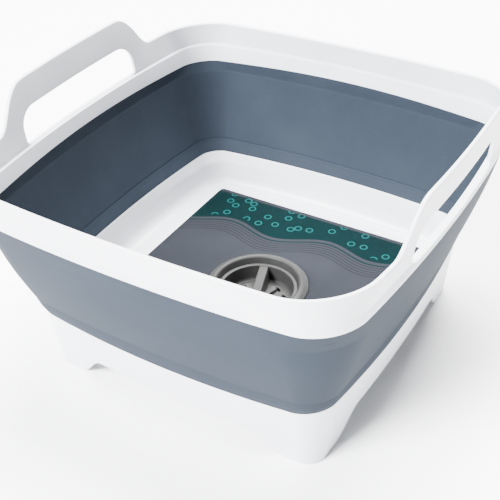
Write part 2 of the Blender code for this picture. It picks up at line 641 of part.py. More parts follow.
def make_drain_gasket(surface):
    """Flat rubber ring under the drain's flange."""
    profile = [
        (GASKET_INNER_RADIUS, GASKET_Z),
        (GASKET_OUTER_RADIUS, GASKET_Z),
        (GASKET_OUTER_RADIUS, GASKET_Z + GASKET_THICKNESS),
        (GASKET_INNER_RADIUS, GASKET_Z + GASKET_THICKNESS),
    ]
    return turned("drain_gasket", profile, TURNED_STEPS, surface)


def turn_about_drain(points, angle):
    """Plan points turned about the drain's axis."""
    across = math.cos(angle)
    along = math.sin(angle)
    return [(x * across - y * along, x * along + y * across) for x, y in points]


def make_drain_locknut(surface):
    """Ring nut under the floor, with lugs for a hand to turn it by."""
    inner = DRAIN_BARREL_RADIUS + TOUCH_GAP
    outer = inner + LOCKNUT_WALL
    high = FLOOR_UNDER_Z - TOUCH_GAP
    low = high - LOCKNUT_HEIGHT
    profile = [(inner, low), (outer, low), (outer, high), (inner, high)]
    nut = turned("drain_locknut", profile, TURNED_STEPS, surface)
    root = inner + LOCKNUT_WALL / 2
    tip = outer + LOCKNUT_LUG_LENGTH
    half = LOCKNUT_LUG_WIDTH / 2
    corners = [(root, -half), (tip, -half), (tip, half), (root, half)]
    for lug in range(LOCKNUT_LUGS):
        points = turn_about_drain(corners, lug / LOCKNUT_LUGS * 2 * math.pi)
        heights = (low + LOCKNUT_LUG_SETBACK, high - LOCKNUT_LUG_SETBACK)
        loops = [level_loop(points, height) for height in heights]
        boolean(nut, prism(f"locknut_lug_{lug + 1}", loops), "UNION")
    return nut


def station_angle(station):
    """The direction of a place round the plug, from the grip bar."""
    return PLUG_REST_ANGLE + station / PLUG_STATIONS * 2 * math.pi


FINGER_STATIONS = [station for station in range(PLUG_STATIONS) if station % (PLUG_STATIONS // 2)]
FINGER_END_RADIUS = FINGER_WIDTH / 2
FINGER_END_CENTRE = FINGER_REACH - FINGER_END_RADIUS
SLOT_INNER_RADIUS = FINGER_END_RADIUS + SLOT_GAP
SLOT_OUTER_RADIUS = SLOT_INNER_RADIUS + SLOT_WIDTH
SLOT_MIDDLE = FINGER_END_CENTRE + (SLOT_INNER_RADIUS + SLOT_OUTER_RADIUS) / 2
OPENING_TURN = math.pi / PLUG_STATIONS  # turn from closed to open, half the way from one finger to the next


def make_strainer_plate(surface):
    """Fixed plate in the drain, with a hole for each slot of the plug, half a place round from it."""
    low = STRAINER_Z
    high = low + STRAINER_THICKNESS
    radius = DRAIN_BORE_RADIUS - TOUCH_GAP
    inner = SCREW_SHANK_RADIUS + TURN_GAP
    profile = [(inner, low), (radius, low), (radius, high), (inner, high)]
    plate = turned("strainer_plate", profile, TURNED_STEPS, surface)
    for station in FINGER_STATIONS:
        angle = station_angle(station) + OPENING_TURN
        centre = (SLOT_MIDDLE * math.cos(angle), SLOT_MIDDLE * math.sin(angle))
        hole = arc(centre, STRAINER_HOLE_RADIUS, 0, 2 * math.pi, SMALL_TURNED_STEPS // 2)[:-1]
        loops = [level_loop(hole, low - CUT_OVERRUN), level_loop(hole, high + CUT_OVERRUN)]
        boolean(plate, prism(f"strainer_hole_cutter_{station}", loops), "DIFFERENCE")
    return plate


def make_face_seal(surface):
    """Rubber disc between the strainer and the plug, which leaves the holes free."""
    low = FACE_SEAL_Z
    high = low + FACE_SEAL_THICKNESS
    radius = SLOT_MIDDLE - STRAINER_HOLE_RADIUS - TOUCH_GAP
    inner = SCREW_SHANK_RADIUS + TURN_GAP
    profile = [(inner, low), (radius, low), (radius, high), (inner, high)]
    return turned("plug_face_seal", profile, TURNED_STEPS, surface)


def make_twist_plug(surface):
    """Twist plug: a cup with a grip bar across it, and fingers whose ends are ringed by drain slots."""
    inner = PLUG_INNER_RADIUS
    groove = O_RING_GROOVE
    edge_z = PLUG_TOP_Z - PLUG_EDGE_HEIGHT
    cup_centre = (inner - PLUG_CUP_CORNER_RADIUS, PLUG_FLOOR_Z + PLUG_CUP_CORNER_RADIUS)
    profile = [
        (0, PLUG_Z),
        (PLUG_RADIUS - PLUG_CORNER_RADIUS, PLUG_Z),
        (PLUG_RADIUS, PLUG_Z + PLUG_CORNER_RADIUS),
        (PLUG_RADIUS, O_RING_Z - groove),
        (PLUG_RADIUS - groove, O_RING_Z - groove),
        (PLUG_RADIUS - groove, O_RING_Z + groove),
        (PLUG_RADIUS, O_RING_Z + groove),
        (PLUG_RADIUS, edge_z),
        (PLUG_EDGE_RADIUS, edge_z),
        (PLUG_EDGE_RADIUS, PLUG_TOP_Z),
        (inner, PLUG_TOP_Z),
        *arc(cup_centre, PLUG_CUP_CORNER_RADIUS, 0, -math.pi / 2, FILLET_STEPS),
        (0, PLUG_FLOOR_Z),
    ]
    plug = turned("twist_plug", profile, TURNED_STEPS, surface)
    boolean(plug, grip_bar(), "UNION")
    for station in FINGER_STATIONS:
        boolean(plug, finger(station), "UNION")
        boolean(plug, slot_cutter(station), "DIFFERENCE")
    low = PLUG_Z - CUT_OVERRUN
    high = PLUG_Z + SCREW_BITE + TOUCH_GAP
    radius = SCREW_SHANK_RADIUS + TOUCH_GAP
    hole = [(0, low), (radius, low), (radius, high), (0, high)]
    boolean(plug, turned("plug_screw_hole_cutter", hole, SMALL_TURNED_STEPS, None), "DIFFERENCE")
    return plug


def grip_bar():
    """Bar across the plug, wider at its foot, that is twisted by finger and thumb."""
    corner_radius = (PLUG_INNER_RADIUS + PLUG_RADIUS - O_RING_GROOVE) / 2
    reach = math.sqrt(corner_radius**2 - (GRIP_BAR_FOOT_WIDTH / 2) ** 2)
    low = PLUG_FLOOR_Z - PLUG_FLOOR_THICKNESS / 2
    high = PLUG_TOP_Z - GRIP_BAR_SINK
    loops = []
    for width, height in ((GRIP_BAR_FOOT_WIDTH, low), (GRIP_BAR_WIDTH, high)):
        half = width / 2
        corners = [(-reach, -half), (reach, -half), (reach, half), (-reach, half)]
        loops.append(level_loop(turn_about_drain(corners, PLUG_REST_ANGLE), height))
    return prism("grip_bar", loops)


def finger_outline(inset, angle):
    """Plan of a finger: straight sides out from the bar, and a round end."""
    radius = FINGER_END_RADIUS - inset
    root = GRIP_BAR_WIDTH / 4
    points = [(root, -radius)]
    points += arc((FINGER_END_CENTRE, 0), radius, -math.pi / 2, math.pi / 2, CORNER_STEPS)
    points += [(root, radius)]
    return turn_about_drain(points, angle)


def finger(station):
    """One finger, raised from the plug's floor."""
    angle = station_angle(station)
    low = PLUG_FLOOR_Z - PLUG_FLOOR_THICKNESS / 2
    high = PLUG_FLOOR_Z + FINGER_HEIGHT
    loops = [
        level_loop(finger_outline(0, angle), low),
        level_loop(finger_outline(0, angle), high - FINGER_EDGE_RADIUS),
        level_loop(finger_outline(FINGER_EDGE_RADIUS, angle), high),
    ]
    return prism(f"finger_{station}", loops)


def slot_cutter(station):
    """Curved drain slot round a finger's end."""
    centre = (FINGER_END_CENTRE, 0)
    near = arc(centre, SLOT_INNER_RADIUS, -SLOT_HALF_ANGLE, SLOT_HALF_ANGLE, CORNER_STEPS)
    far = arc(centre, SLOT_OUTER_RADIUS, SLOT_HALF_ANGLE, -SLOT_HALF_ANGLE, CORNER_STEPS)
    points = turn_about_drain(near + far, station_angle(station))
    loops = [level_loop(points, PLUG_Z - CUT_OVERRUN), level_loop(points, PLUG_FLOOR_Z + CUT_OVERRUN)]
    return prism(f"slot_cutter_{station}", loops)


def make_o_ring(surface):
    """Round rubber ring in the plug's groove."""
    middle = DRAIN_BORE_RADIUS - TURN_GAP - O_RING_RADIUS
    profile = arc((middle, O_RING_Z), O_RING_RADIUS, 0, 2 * math.pi, CORNER_STEPS)[:-1]
    return turned("plug_o_ring", profile, TURNED_STEPS, surface)


def make_pivot_screw(surface):
    """Screw from below that holds the plug to the strainer and turns with it."""
    washer_z = STRAINER_Z - TOUCH_GAP - WASHER_THICKNESS
    head_high = washer_z - TOUCH_GAP
    head_low = head_high - SCREW_HEAD_HEIGHT
    profile = [
        (0, head_low),
        (SCREW_HEAD_RADIUS, head_low),
        (SCREW_HEAD_RADIUS, head_high),
        (SCREW_SHANK_RADIUS, head_high),
        (SCREW_SHANK_RADIUS, PLUG_Z + SCREW_BITE),
        (0, PLUG_Z + SCREW_BITE),
    ]
    screw = turned("pivot_screw", profile, SMALL_TURNED_STEPS, surface)
    half = SCREW_SLOT_WIDTH / 2
    reach = SCREW_HEAD_RADIUS + CUT_OVERRUN
    corners = [(-reach, -half), (reach, -half), (reach, half), (-reach, half)]
    loops = [level_loop(corners, head_low - CUT_OVERRUN), level_loop(corners, head_low + SCREW_SLOT_DEPTH)]
    boolean(screw, prism("screw_slot_cutter", loops), "DIFFERENCE")
    return screw


def make_pivot_washer(surface):
    """Washer between the screw's head and the strainer."""
    high = STRAINER_Z - TOUCH_GAP
    low = high - WASHER_THICKNESS
    inner = SCREW_SHANK_RADIUS + TOUCH_GAP
    profile = [(inner, low), (WASHER_RADIUS, low), (WASHER_RADIUS, high), (inner, high)]
    return turned("pivot_washer", profile, SMALL_TURNED_STEPS, surface)


def add_axis(name, height, pieces):
    """An empty on a joint's axis that carries the pieces that move on it."""
    axis = bpy.data.objects.new(name, None)
    axis.location = (0, 0, height)
    bpy.context.scene.collection.objects.link(axis)
    for piece in pieces:
        piece.parent = axis
        piece.matrix_parent_inverse = axis.matrix_basis.inverted()
    return axis


def build():
    """Models the whole basin."""
    for old in list(bpy.data.objects):
        bpy.data.objects.remove(old)
    white = material("white_plastic", (0.82, 0.83, 0.86), 0.35)
    grey_rubber = material("grey_rubber", (0.20, 0.24, 0.29), 0.55)
    card_print = material("card_print", (0.20, 0.20, 0.25), 0.50)
    drain_white = material("drain_plastic", (0.62, 0.62, 0.62), 0.35)
    black_rubber = material("seal_rubber", (0.05, 0.05, 0.05), 0.70)
    steel = material("steel", (0.55, 0.56, 0.58), 0.30)
    steel.node_tree.nodes["Principled BSDF"].inputs["Metallic"].default_value = 1.0

    make_base(white)
    make_lower_collar(grey_rubber)
    make_fold_panel(grey_rubber)
    upper_collar = make_upper_collar(grey_rubber)
    rim = make_rim(white)
    add_axis("rim_slide_axis", UPPER_FOLD_Z, [rim, upper_collar])

    make_card(card_print)
    make_drain_collar(drain_white)
    make_drain_gasket(black_rubber)
    make_drain_locknut(drain_white)
    make_strainer_plate(drain_white)
    make_face_seal(black_rubber)
    plug = make_twist_plug(drain_white)
    o_ring = make_o_ring(black_rubber)
    screw = make_pivot_screw(steel)
    washer = make_pivot_washer(steel)
    add_axis("plug_turn_axis", PLUG_Z, [plug, o_ring, screw, washer])


build()
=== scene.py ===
# Looks of a collapsible camp washbasin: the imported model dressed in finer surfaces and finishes, in metres.
# Z is up, X runs from handle to handle, and the camera looks down from the front right, where Y is negative.

import math
from collections import namedtuple

import bmesh
import bpy
import numpy as np
from mathutils import Matrix, Vector


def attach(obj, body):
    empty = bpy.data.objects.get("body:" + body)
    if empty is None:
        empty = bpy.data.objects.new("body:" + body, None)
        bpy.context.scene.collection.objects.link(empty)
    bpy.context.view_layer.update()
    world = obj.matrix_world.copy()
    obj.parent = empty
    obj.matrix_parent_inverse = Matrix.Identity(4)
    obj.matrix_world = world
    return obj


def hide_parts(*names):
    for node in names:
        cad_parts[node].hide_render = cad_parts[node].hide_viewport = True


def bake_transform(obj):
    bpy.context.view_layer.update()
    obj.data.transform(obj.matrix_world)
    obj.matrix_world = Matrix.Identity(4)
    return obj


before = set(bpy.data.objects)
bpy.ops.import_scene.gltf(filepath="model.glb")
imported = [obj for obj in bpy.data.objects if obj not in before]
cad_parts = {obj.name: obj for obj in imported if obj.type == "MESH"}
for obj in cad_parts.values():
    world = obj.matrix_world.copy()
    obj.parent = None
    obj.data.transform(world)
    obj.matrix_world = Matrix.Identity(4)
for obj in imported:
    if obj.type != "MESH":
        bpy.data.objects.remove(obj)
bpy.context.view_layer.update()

# Heights above the ground
BASE_SEAM_Z = 0.0547
COLLAR_SWELL_Z = 0.06134
BASE_LIP_Z = 0.0641
LOWER_FOLD_Z = 0.0705
UPPER_FOLD_Z = 0.1320
RIM_LIP_Z = 0.1395
RIM_SEAM_Z = 0.1497
RIM_LEDGE_Z = 0.1543
RIM_CREASE_Z = 0.1568
RIM_TOP_Z = 0.1738
HANDLE_TOP_Z = 0.2035
FLOOR_TOP_Z = 0.0335
FLOOR_UNDER_Z = 0.0309
SKIRT_ARCH_Z = 0.0208

# Outer plan at each height: half width at the corners, bow of the sides that face X, bow of the others, and
# corner radius
STATION_HEIGHTS = np.array(
    [0, BASE_SEAM_Z, COLLAR_SWELL_Z, LOWER_FOLD_Z, UPPER_FOLD_Z, RIM_SEAM_Z, RIM_CREASE_Z, RIM_TOP_Z]
)
STATION_PLANS = np.array(
    [
        (0.1142, 0.0032, 0.0032, 0.0123),
        (0.1194, 0.0089, 0.0089, 0.0195),
        (0.1221, 0.0080, 0.0080, 0.0198),
        (0.1244, 0.0076, 0.0076, 0.0205),
        (0.1418, 0.0098, 0.0098, 0.0350),
        (0.1463, 0.0112, 0.0112, 0.0290),
        (0.1460, 0.0094, 0.0094, 0.0320),
        (0.1472, 0.0115, 0.0066, 0.0406),
    ]
)
RIM_SEAM_PLAN = STATION_PLANS[5]
RIM_CREASE_PLAN = STATION_PLANS[6]
RIM_TOP_PLAN = STATION_PLANS[7]
HANDLE_TOP_PLAN = np.array((0.1495, 0.0115, 0.0115, 0.0330))
PANEL_BULGE = 0.0012

# Columns round the basin
SIDE_COLUMNS = 80
CORNER_COLUMNS = 22

# Rim; an inset is measured inwards from the outer plan
RIM_WALL = 0.0030
RIM_TOP_EDGE = 0.0013
RIM_SEAM_ARCH = 0.0026
RIM_OVERHANG = 0.0012
RIM_LIP_OUTER_INSET = 0.0055
RIM_LIP_INNER_INSET = 0.0075
RIM_LEDGE_INSET = 0.0065
RIM_DIP = 0.0004
HANDLE_SHOULDER = (0.0480, 0.0890)
HANDLE_DIP = (0.0950, 0.1400)
SOFT_EDGE = 0.0006
LEDGE_EDGE = 0.0002
FACE_HALF = 0.114  # about half the straight part of a side, for the search of a place on the rim's face

# Hand hole in each handle
HOLE_FLOOR_Z = 0.1548
HOLE_TOP_Z = 0.1811
HOLE_TOP_HALF = 0.0645
HOLE_FLOOR_HALF = 0.0652
HOLE_TOP_RADIUS = 0.0150
HOLE_FLOOR_RADIUS = 0.0040
HOLE_EDGE = 0.0011
HOLE_FLOOR_EDGE = 0.0002
HOLE_EDGE_EASE = 0.004  # height over which the edge grows from the floor's rounding to that of the sides

# Base
BASE_WALL = 0.0030
BASE_FILLET = 0.0090
BASE_LIP_INNER_INSET = 0.0048
BASE_LIP_OUTER_INSET = 0.0028
BASE_STEP_INSET = 0.0013
FLOOR_HOLE_RADIUS = 0.0345
ARCH_HALF = 0.0640  # level part of the arch between two feet, from its middle
ARCH_EASE = 0.0240  # length over which it then comes down to the foot

# Rubber wall
RUBBER = 0.0025
TOUCH_GAP = 0.0003  # left between pieces that touch
LIP_CORNER = 0.0003  # cut off the rubber's corners at both lips
CORE_SKIN = 0.0001  # rubber between a fold's core and either face
FOLD_REACH = 0.0006  # of a fold's core past the fold
FOLD_GROOVE_Z = 0.0688  # shallow groove outside, under the lower fold
FOLD_BACK_Z = 0.0741  # thinned line inside, behind the lower fold
TURN_REACH = 0.005643  # from each fold to where the folded wall turns back, 0.0918 of the panel's height
LOW_ROWS_END = 0.0670  # heights between which the wall's rows lie closer or further apart
LOWER_FOLD_ROWS = (0.0676, 0.0740)
PANEL_ROWS_START = 0.0746
LOW_TURN_END = 0.0820
PANEL_ROWS = (0.0840, 0.1190)
HIGH_TURN_START = 0.1200

# Card; it lies a little to the left of the drain's middle
CARD_LEFT = 0.1010
CARD_RIGHT = 0.0992
CARD_HALF_Y = 0.1057
CARD_CORNER = 0.0035
CARD_HOLE = 0.0406
CARD_THICKNESS = 0.0004
CARD_EDGE = 0.00012

# Drain collar and its nut, as radii but for the heights
DRAIN_BORE = 0.0322
DRAIN_BARREL = 0.0342
DRAIN_POCKET = 0.0382  # room for the gasket under the flange
DRAIN_POCKET_Z = 0.0353
DRAIN_FLANGE = 0.04055
DRAIN_CROWN = 0.0348
DRAIN_CROWN_RISE = 0.0047
DRAIN_END_Z = 0.0110
DRAIN_SEAT_Z = 0.0130
DRAIN_SEAT_RADIUS = 0.0295
NUT_INNER = 0.0345
NUT_OUTER = 0.0390
NUT_HEIGHT = 0.0045
NUT_REACH = 0.040  # where the lengths round the nut are measured
NUT_LUG = 0.0030
NUT_LUG_HALF = 0.0028
NUT_LUG_SIDE = 0.0014
NUT_RIB = 0.00025
NUT_RIB_COUNT = 84
NUT_RIB_START = 0.0050
NUT_EDGE = 0.0004

# Plug
PLUG_Z = 0.0169
PLUG_FLOOR_Z = 0.0192
PLUG_TOP_Z = 0.0324
PLUG_ANGLE = math.radians(110)
PLUG_PITCH = math.radians(36)
PLUG_RADIUS = 0.0309
PLUG_EDGE_RADIUS = 0.0319
PLUG_INNER_RADIUS = 0.0285
PLUG_LIP = 0.0016
PLUG_LIP_EDGE = 0.0005
PLUG_STATIONS = 10  # eight fingers, and the grip bar's two ends at stations 0 and 5
SCREW_HOLE = 0.0021
SCREW_DEPTH = 0.0053
O_RING_Z = 0.02775
O_RING_GROOVE = 0.0012
GRIP_BAR_HALF = 0.0038
GRIP_BAR_DROP = 0.0008  # of its top below the plug's
FINGER_RADIUS = 0.0026
FINGER_CENTRE = 0.0174
FINGER_HEIGHT = 0.0030
SLOT_INNER = 0.0032
SLOT_OUTER = 0.0054
SLOT_HALF_ANGLE = math.radians(62)


def smooth(share):
    """Eases from 0 to 1, flat at both ends: 3 s^2 - 2 s^3."""
    share = np.clip(share, 0, 1)
    return share * share * (3 - 2 * share)


# Plan outlines

Where = namedtuple("Where", "quarter share turn")
QUARTER_COS = np.array([1, 0, -1, 0])
QUARTER_SIN = np.array([0, 1, 0, -1])


def columns_round():
    """Columns once round: each side's shares between -1 and 1, then its corner's turn to a right angle."""
    side = np.linspace(-1, 1, SIDE_COLUMNS + 1)[1:-1]
    corner = np.linspace(0, math.pi / 2, CORNER_COLUMNS + 1)
    share = np.concatenate([side, np.ones(len(corner))])
    turn = np.concatenate([np.zeros(len(side)), corner])
    return Where(np.repeat(np.arange(4), len(share)), np.tile(share, 4), np.tile(turn, 4))


ROUND = columns_round()


def outline(plan, inset, where=ROUND):
    """Rounded square with bowed sides, as X and Y.

    A point of the first quarter is (straight + r cos turn, straight x share + r sin turn), turned by its
    quarter. Each side is then pushed out by its bow x (1 - (distance along / half)^2).
    """
    half = plan[..., 0] - inset
    radius = np.maximum(plan[..., 3] - inset, np.maximum(inset, plan[..., 3]) / 8)
    straight = half - radius
    out = straight + radius * np.cos(where.turn)
    along = straight * where.share + radius * np.sin(where.turn)
    cos, sin = QUARTER_COS[where.quarter], QUARTER_SIN[where.quarter]
    x, y = cos * out - sin * along, sin * out + cos * along
    push_x = np.sign(x) * np.clip(1 - (y / half) ** 2, 0, 1) * np.clip(np.abs(x) / straight, 0, 1)
    push_y = np.sign(y) * np.clip(1 - (x / half) ** 2, 0, 1) * np.clip(np.abs(y) / straight, 0, 1)
    return x + plan[..., 1] * push_x, y + plan[..., 2] * push_y


def plan_at(height):
    """Outer plan at each height, straight between stations; the folding panel swells by a half sine."""
    height = np.asarray(height, float)
    plan = np.stack([np.interp(height, STATION_HEIGHTS, column) for column in STATION_PLANS.T], axis=-1)
    share = np.clip((height - LOWER_FOLD_Z) / (UPPER_FOLD_Z - LOWER_FOLD_Z), 0, 1)
    plan[..., 0] += PANEL_BULGE * np.sin(share * math.pi)
    return plan


def ring(plan, inset, height, where=ROUND, arch=0.0):
    """Outline at a height, lifted in the middle of each side by arch x (1 - (along / half)^2)^2."""
    x, y = outline(plan, inset, where)
    along = np.minimum(np.abs(x), np.abs(y)) / np.maximum(np.abs(x), np.abs(y))
    return np.stack([x, y, height + arch * (1 - along**2) ** 2], axis=-1)


def level_rows(heights, insets, arch=0.0):
    """Rows of a wall: one outline a height, each moved in by its inset."""
    heights, insets = np.broadcast_arrays(np.asarray(heights, float), np.asarray(insets, float))
    return ring(plan_at(heights)[:, None], insets[:, None], heights[:, None], arch=np.reshape(arch, (-1, 1)))


def quarter_arc(first, last, steps=4):
    """Angles of an edge's rounding."""
    return np.linspace(math.radians(first), math.radians(last), steps + 1)


def circle_row(radius, height, like):
    """A round row, (r cos a, r sin a) at a height, whose points lie in another row's directions."""
    angle = np.arctan2(like[:, 1], like[:, 0])
    return np.column_stack([radius * np.cos(angle), radius * np.sin(angle), np.full(len(like), height)])


def between(first, last, count):
    """Rows from one row to another, both left out: first + (last - first) x share."""
    share = np.linspace(0, 1, count + 2)[1:-1, None, None]
    return first + (last - first) * share


# Meshes


def grid_faces(rows, columns, close_rows, close_columns):
    """Quads of a grid of points, which may close on itself either way."""
    index = np.arange(rows * columns).reshape(rows, columns)
    if close_rows:
        index = np.vstack([index, index[:1]])
    if close_columns:
        index = np.hstack([index, index[:, :1]])
    corners = [index[:-1, :-1], index[:-1, 1:], index[1:, 1:], index[1:, :-1]]
    return np.stack([corner.ravel() for corner in corners], axis=1)


def add_piece(name, parts, surface, body, replaced, sharp=50):
    """One object from grids of points and their faces, with seams merged and faces turned outwards."""
    points = np.concatenate([part[0].reshape(-1, 3) for part in parts])
    starts = np.cumsum([0] + [part[0].size // 3 for part in parts[:-1]])
    faces = np.concatenate([part[1] + start for part, start in zip(parts, starts)])
    mesh = bpy.data.meshes.new(name)
    mesh.from_pydata(points.tolist(), [], faces.tolist())
    shape = bmesh.new()
    shape.from_mesh(mesh)
    bmesh.ops.remove_doubles(shape, verts=shape.verts, dist=2e-6)
    bmesh.ops.recalc_face_normals(shape, faces=shape.faces)
    shape.to_mesh(mesh)
    shape.free()
    mesh.shade_smooth()
    mesh.set_sharp_from_angle(angle=math.radians(sharp))
    mesh.materials.append(surface)
    piece = bpy.data.objects.new(name, mesh)
    bpy.context.scene.collection.objects.link(piece)
    if body:
        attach(piece, body)
    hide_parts(*replaced)
    return piece


def tube(rows):
    """A grid closed both ways."""
    return rows, grid_faces(rows.shape[0], rows.shape[1], True, True)


def turned(profile, count, radius_change=None):
    """A profile turned about Z, as (r cos a, r sin a, height); it may start and end on the axis."""
    profile = np.array(profile)
    angle = np.arange(count) / count * 2 * math.pi
    radius = profile[:, :1] + np.zeros(count)
    if radius_change is not None:
        radius = radius + radius_change(profile[:, :1], profile[:, 1:], angle[None])
    height = profile[:, 1:] + np.zeros(count)
    points = np.stack([radius * np.cos(angle), radius * np.sin(angle), height], axis=-1)
    on_axis = profile[0, 0] == 0
    return points, grid_faces(len(profile), count, not on_axis, True)


def rounded_profile(corners, closed=True, steps=4):
    """A profile from corners of radius, height and rounding, each cut by an arc that touches both sides."""
    places = np.array([corner[:2] for corner in corners], float)
    path = []
    for index, (place, corner) in enumerate(zip(places, corners)):
        end = not closed and index in (0, len(corners) - 1)
        if end or corner[2] == 0:
            path.append(place)
            continue
        back = places[index - 1] - place
        on = places[(index + 1) % len(places)] - place
        back, on = back / np.linalg.norm(back), on / np.linalg.norm(on)
        opening = math.acos(np.clip(back @ on, -1, 1))
        middle = (back + on) / np.linalg.norm(back + on)
        centre = place + middle * corner[2] / math.sin(opening / 2)
        reach = corner[2] / math.tan(opening / 2)
        first, last = place + back * reach - centre, place + on * reach - centre
        sweep = math.pi - opening
        share = np.linspace(0, 1, steps + 1)[:, None]
        arc = np.sin((1 - share) * sweep) * first + np.sin(share * sweep) * last
        path.extend(centre + arc / math.sin(sweep))
    return np.array(path)


# Rim


def handle_share(y):
    """1 across a handle's grip, easing to 0 where its shoulders meet the rim: 1 - smooth(s^1.2)."""
    start, end = HANDLE_SHOULDER
    return 1 - smooth(np.clip((np.abs(y) - start) / (end - start), 0, 1) ** 1.2)


def rim_top_row(inset, drop, where=ROUND):
    """The rim's top: its own plan and height + (the handle's - its own) x the handle's share - the drop."""
    low_x, low_y = outline(RIM_TOP_PLAN, inset, where)
    high_x, high_y = outline(HANDLE_TOP_PLAN, inset, where)
    grip = handle_share(low_y)
    dip = smooth((np.abs(low_y) - HANDLE_DIP[0]) / (HANDLE_DIP[1] - HANDLE_DIP[0]))
    low_z = RIM_TOP_Z - RIM_DIP * (1 - dip)
    points = [low_x + (high_x - low_x) * grip, low_y + (high_y - low_y) * grip]
    return np.stack([*points, low_z + (HANDLE_TOP_Z - low_z) * grip - drop], axis=-1)


def rim_rows_of(side, where=ROUND):
    """The rows that rule the rim's upright face, outside or inside: lower edge or ledge, crease and top."""
    if side == "outside":
        inset = 0.0
        low = ring(RIM_SEAM_PLAN, inset, RIM_SEAM_Z + SOFT_EDGE, where, RIM_SEAM_ARCH)
    else:
        inset = RIM_WALL
        low = ring(plan_at(RIM_LEDGE_Z), inset, RIM_LEDGE_Z + LEDGE_EDGE, where)
    crease = ring(RIM_CREASE_PLAN, inset, RIM_CREASE_Z, where)
    return low, crease, rim_top_row(inset, RIM_TOP_EDGE, where)


def rim_face(side, level, where=ROUND):
    """The rim's upright face, ruled by straight lines: level -1 is its lower row, 0 the crease, 1 the top."""
    low, crease, top = rim_rows_of(side, where)
    level = np.asarray(level, float)[..., None]
    return np.where(level < 0, crease + (low - crease) * -level, crease + (top - crease) * level)


def face_place(side, y, z):
    """Share and level of the face's point at Y and Z, found by correcting each from the other."""
    share = y / FACE_HALF
    for _ in range(14):
        where = Where(np.zeros(y.shape, int), share, np.zeros(y.shape))
        low, crease, top = rim_rows_of(side, where)
        under = (z - crease[..., 2]) / (crease[..., 2] - low[..., 2])
        over = (z - crease[..., 2]) / (top[..., 2] - crease[..., 2])
        level = np.where(z < crease[..., 2], under, over)
        share = share + (y - rim_face(side, level, where)[..., 1]) / FACE_HALF
    return share, level


# The block of the face that is left out for a hand hole, and the levels of the face's rows
BLOCK_SHARE = 0.85
BLOCK_TOP = 0.90
LOWER_LEVELS = np.linspace(-1, 0, 6)
UPPER_LEVELS = np.linspace(0, 1, 21)
BLOCK_COUNTS = (34, 5, 18, 34)  # intervals of half the block's edge: bottom, below the crease, above it, top


def both_halves(half):
    """A half loop in Y, from the middle of its floor to that of its top, carried on down the other side."""
    return np.concatenate([half, (half * (-1, 1))[-2:0:-1]])


def block_edge():
    """Shares and levels round the block of the face that is left out for the hand hole."""
    shares = np.linspace(0, BLOCK_SHARE, BLOCK_COUNTS[0] + 1)
    bottom = np.column_stack([shares, np.full(len(shares), -1.0)])
    levels = np.concatenate([LOWER_LEVELS[1:], UPPER_LEVELS[1:][UPPER_LEVELS[1:] < BLOCK_TOP + 0.01]])
    side = np.column_stack([np.full(len(levels), BLOCK_SHARE), levels])
    top = np.column_stack([shares[-2::-1], np.full(len(shares) - 1, BLOCK_TOP)])
    return both_halves(np.concatenate([bottom, side, top]))


def hole_loop(grow, floor_grow):
    """Y and Z round the hand hole: a four-sided figure with rounded corners, its sides moved out by grow.

    Half of it runs along the floor, round the lower corner, up the leaning side, round the top corner and
    along the top. It is shared out so that the corners' middles and the crease's height fall on points.
    """
    floor_z, top_z = HOLE_FLOOR_Z - floor_grow, HOLE_TOP_Z + grow
    lean = (HOLE_TOP_HALF - HOLE_FLOOR_HALF) / (HOLE_TOP_Z - HOLE_FLOOR_Z)
    out = grow * math.hypot(1, lean)
    floor_half = HOLE_FLOOR_HALF + out + lean * (floor_z - HOLE_FLOOR_Z)
    top_half = HOLE_FLOOR_HALF + out + lean * (top_z - HOLE_FLOOR_Z)
    corners = [
        (0, floor_z, 0),
        (floor_half, floor_z, HOLE_FLOOR_RADIUS + floor_grow),
        (top_half, top_z, HOLE_TOP_RADIUS + grow),
        (0, top_z, 0),
    ]
    steps = 24
    path = rounded_profile(corners, closed=False, steps=steps)
    along = np.concatenate([[0], np.cumsum(np.linalg.norm(np.diff(path, axis=0), axis=1))])
    low_corner = 1 + steps // 2
    high_corner = low_corner + steps + 1
    side = slice(low_corner, high_corner + 1)
    crease = np.interp(RIM_CREASE_Z, path[side, 1], along[side])
    breaks = [0, along[low_corner], crease, along[high_corner], along[-1]]
    runs = zip(breaks, breaks[1:], BLOCK_COUNTS)
    stops = [np.linspace(start, end, count + 1)[1:] for start, end, count in runs]
    stops = np.concatenate([[0], *stops])
    return both_halves(np.column_stack([np.interp(stops, along, values) for values in path.T]))


def hole_edge_rows(side, outwards):
    """Rows from the face into the hole: a quarter round between the face and the hole's own wall."""
    rows = []
    for angle in quarter_arc(0, 90, 5):
        out, deep = 1 - math.sin(angle), 1 - math.cos(angle)
        loop = hole_loop(HOLE_EDGE * out, HOLE_FLOOR_EDGE * out)
        share, level = face_place(side, loop[:, 0], loop[:, 1])
        where = Where(np.zeros(len(share), int), share, np.zeros(len(share)))
        row = rim_face(side, level, where)
        share_up = smooth((loop[:, 1] - HOLE_FLOOR_Z) / HOLE_EDGE_EASE)
        edge = HOLE_FLOOR_EDGE + (HOLE_EDGE - HOLE_FLOOR_EDGE) * share_up
        row[:, 0] -= outwards * edge * deep
        rows.append(row)
    return np.array(rows)


def hole_patch(side):
    """Rows of the face from the block's edge to the hole, straight between the two in share and level."""
    loop = hole_loop(HOLE_EDGE, HOLE_FLOOR_EDGE)
    share, level = face_place(side, loop[:, 0], loop[:, 1])
    inner = np.column_stack([share, level])
    outer = block_edge()
    step = np.linspace(0, 1, 9)[:-1, None, None]
    place = outer + (inner - outer) * step
    where = Where(np.zeros(place.shape[:2], int), place[..., 0], np.zeros(place.shape[:2]))
    return rim_face(side, place[..., 1], where)


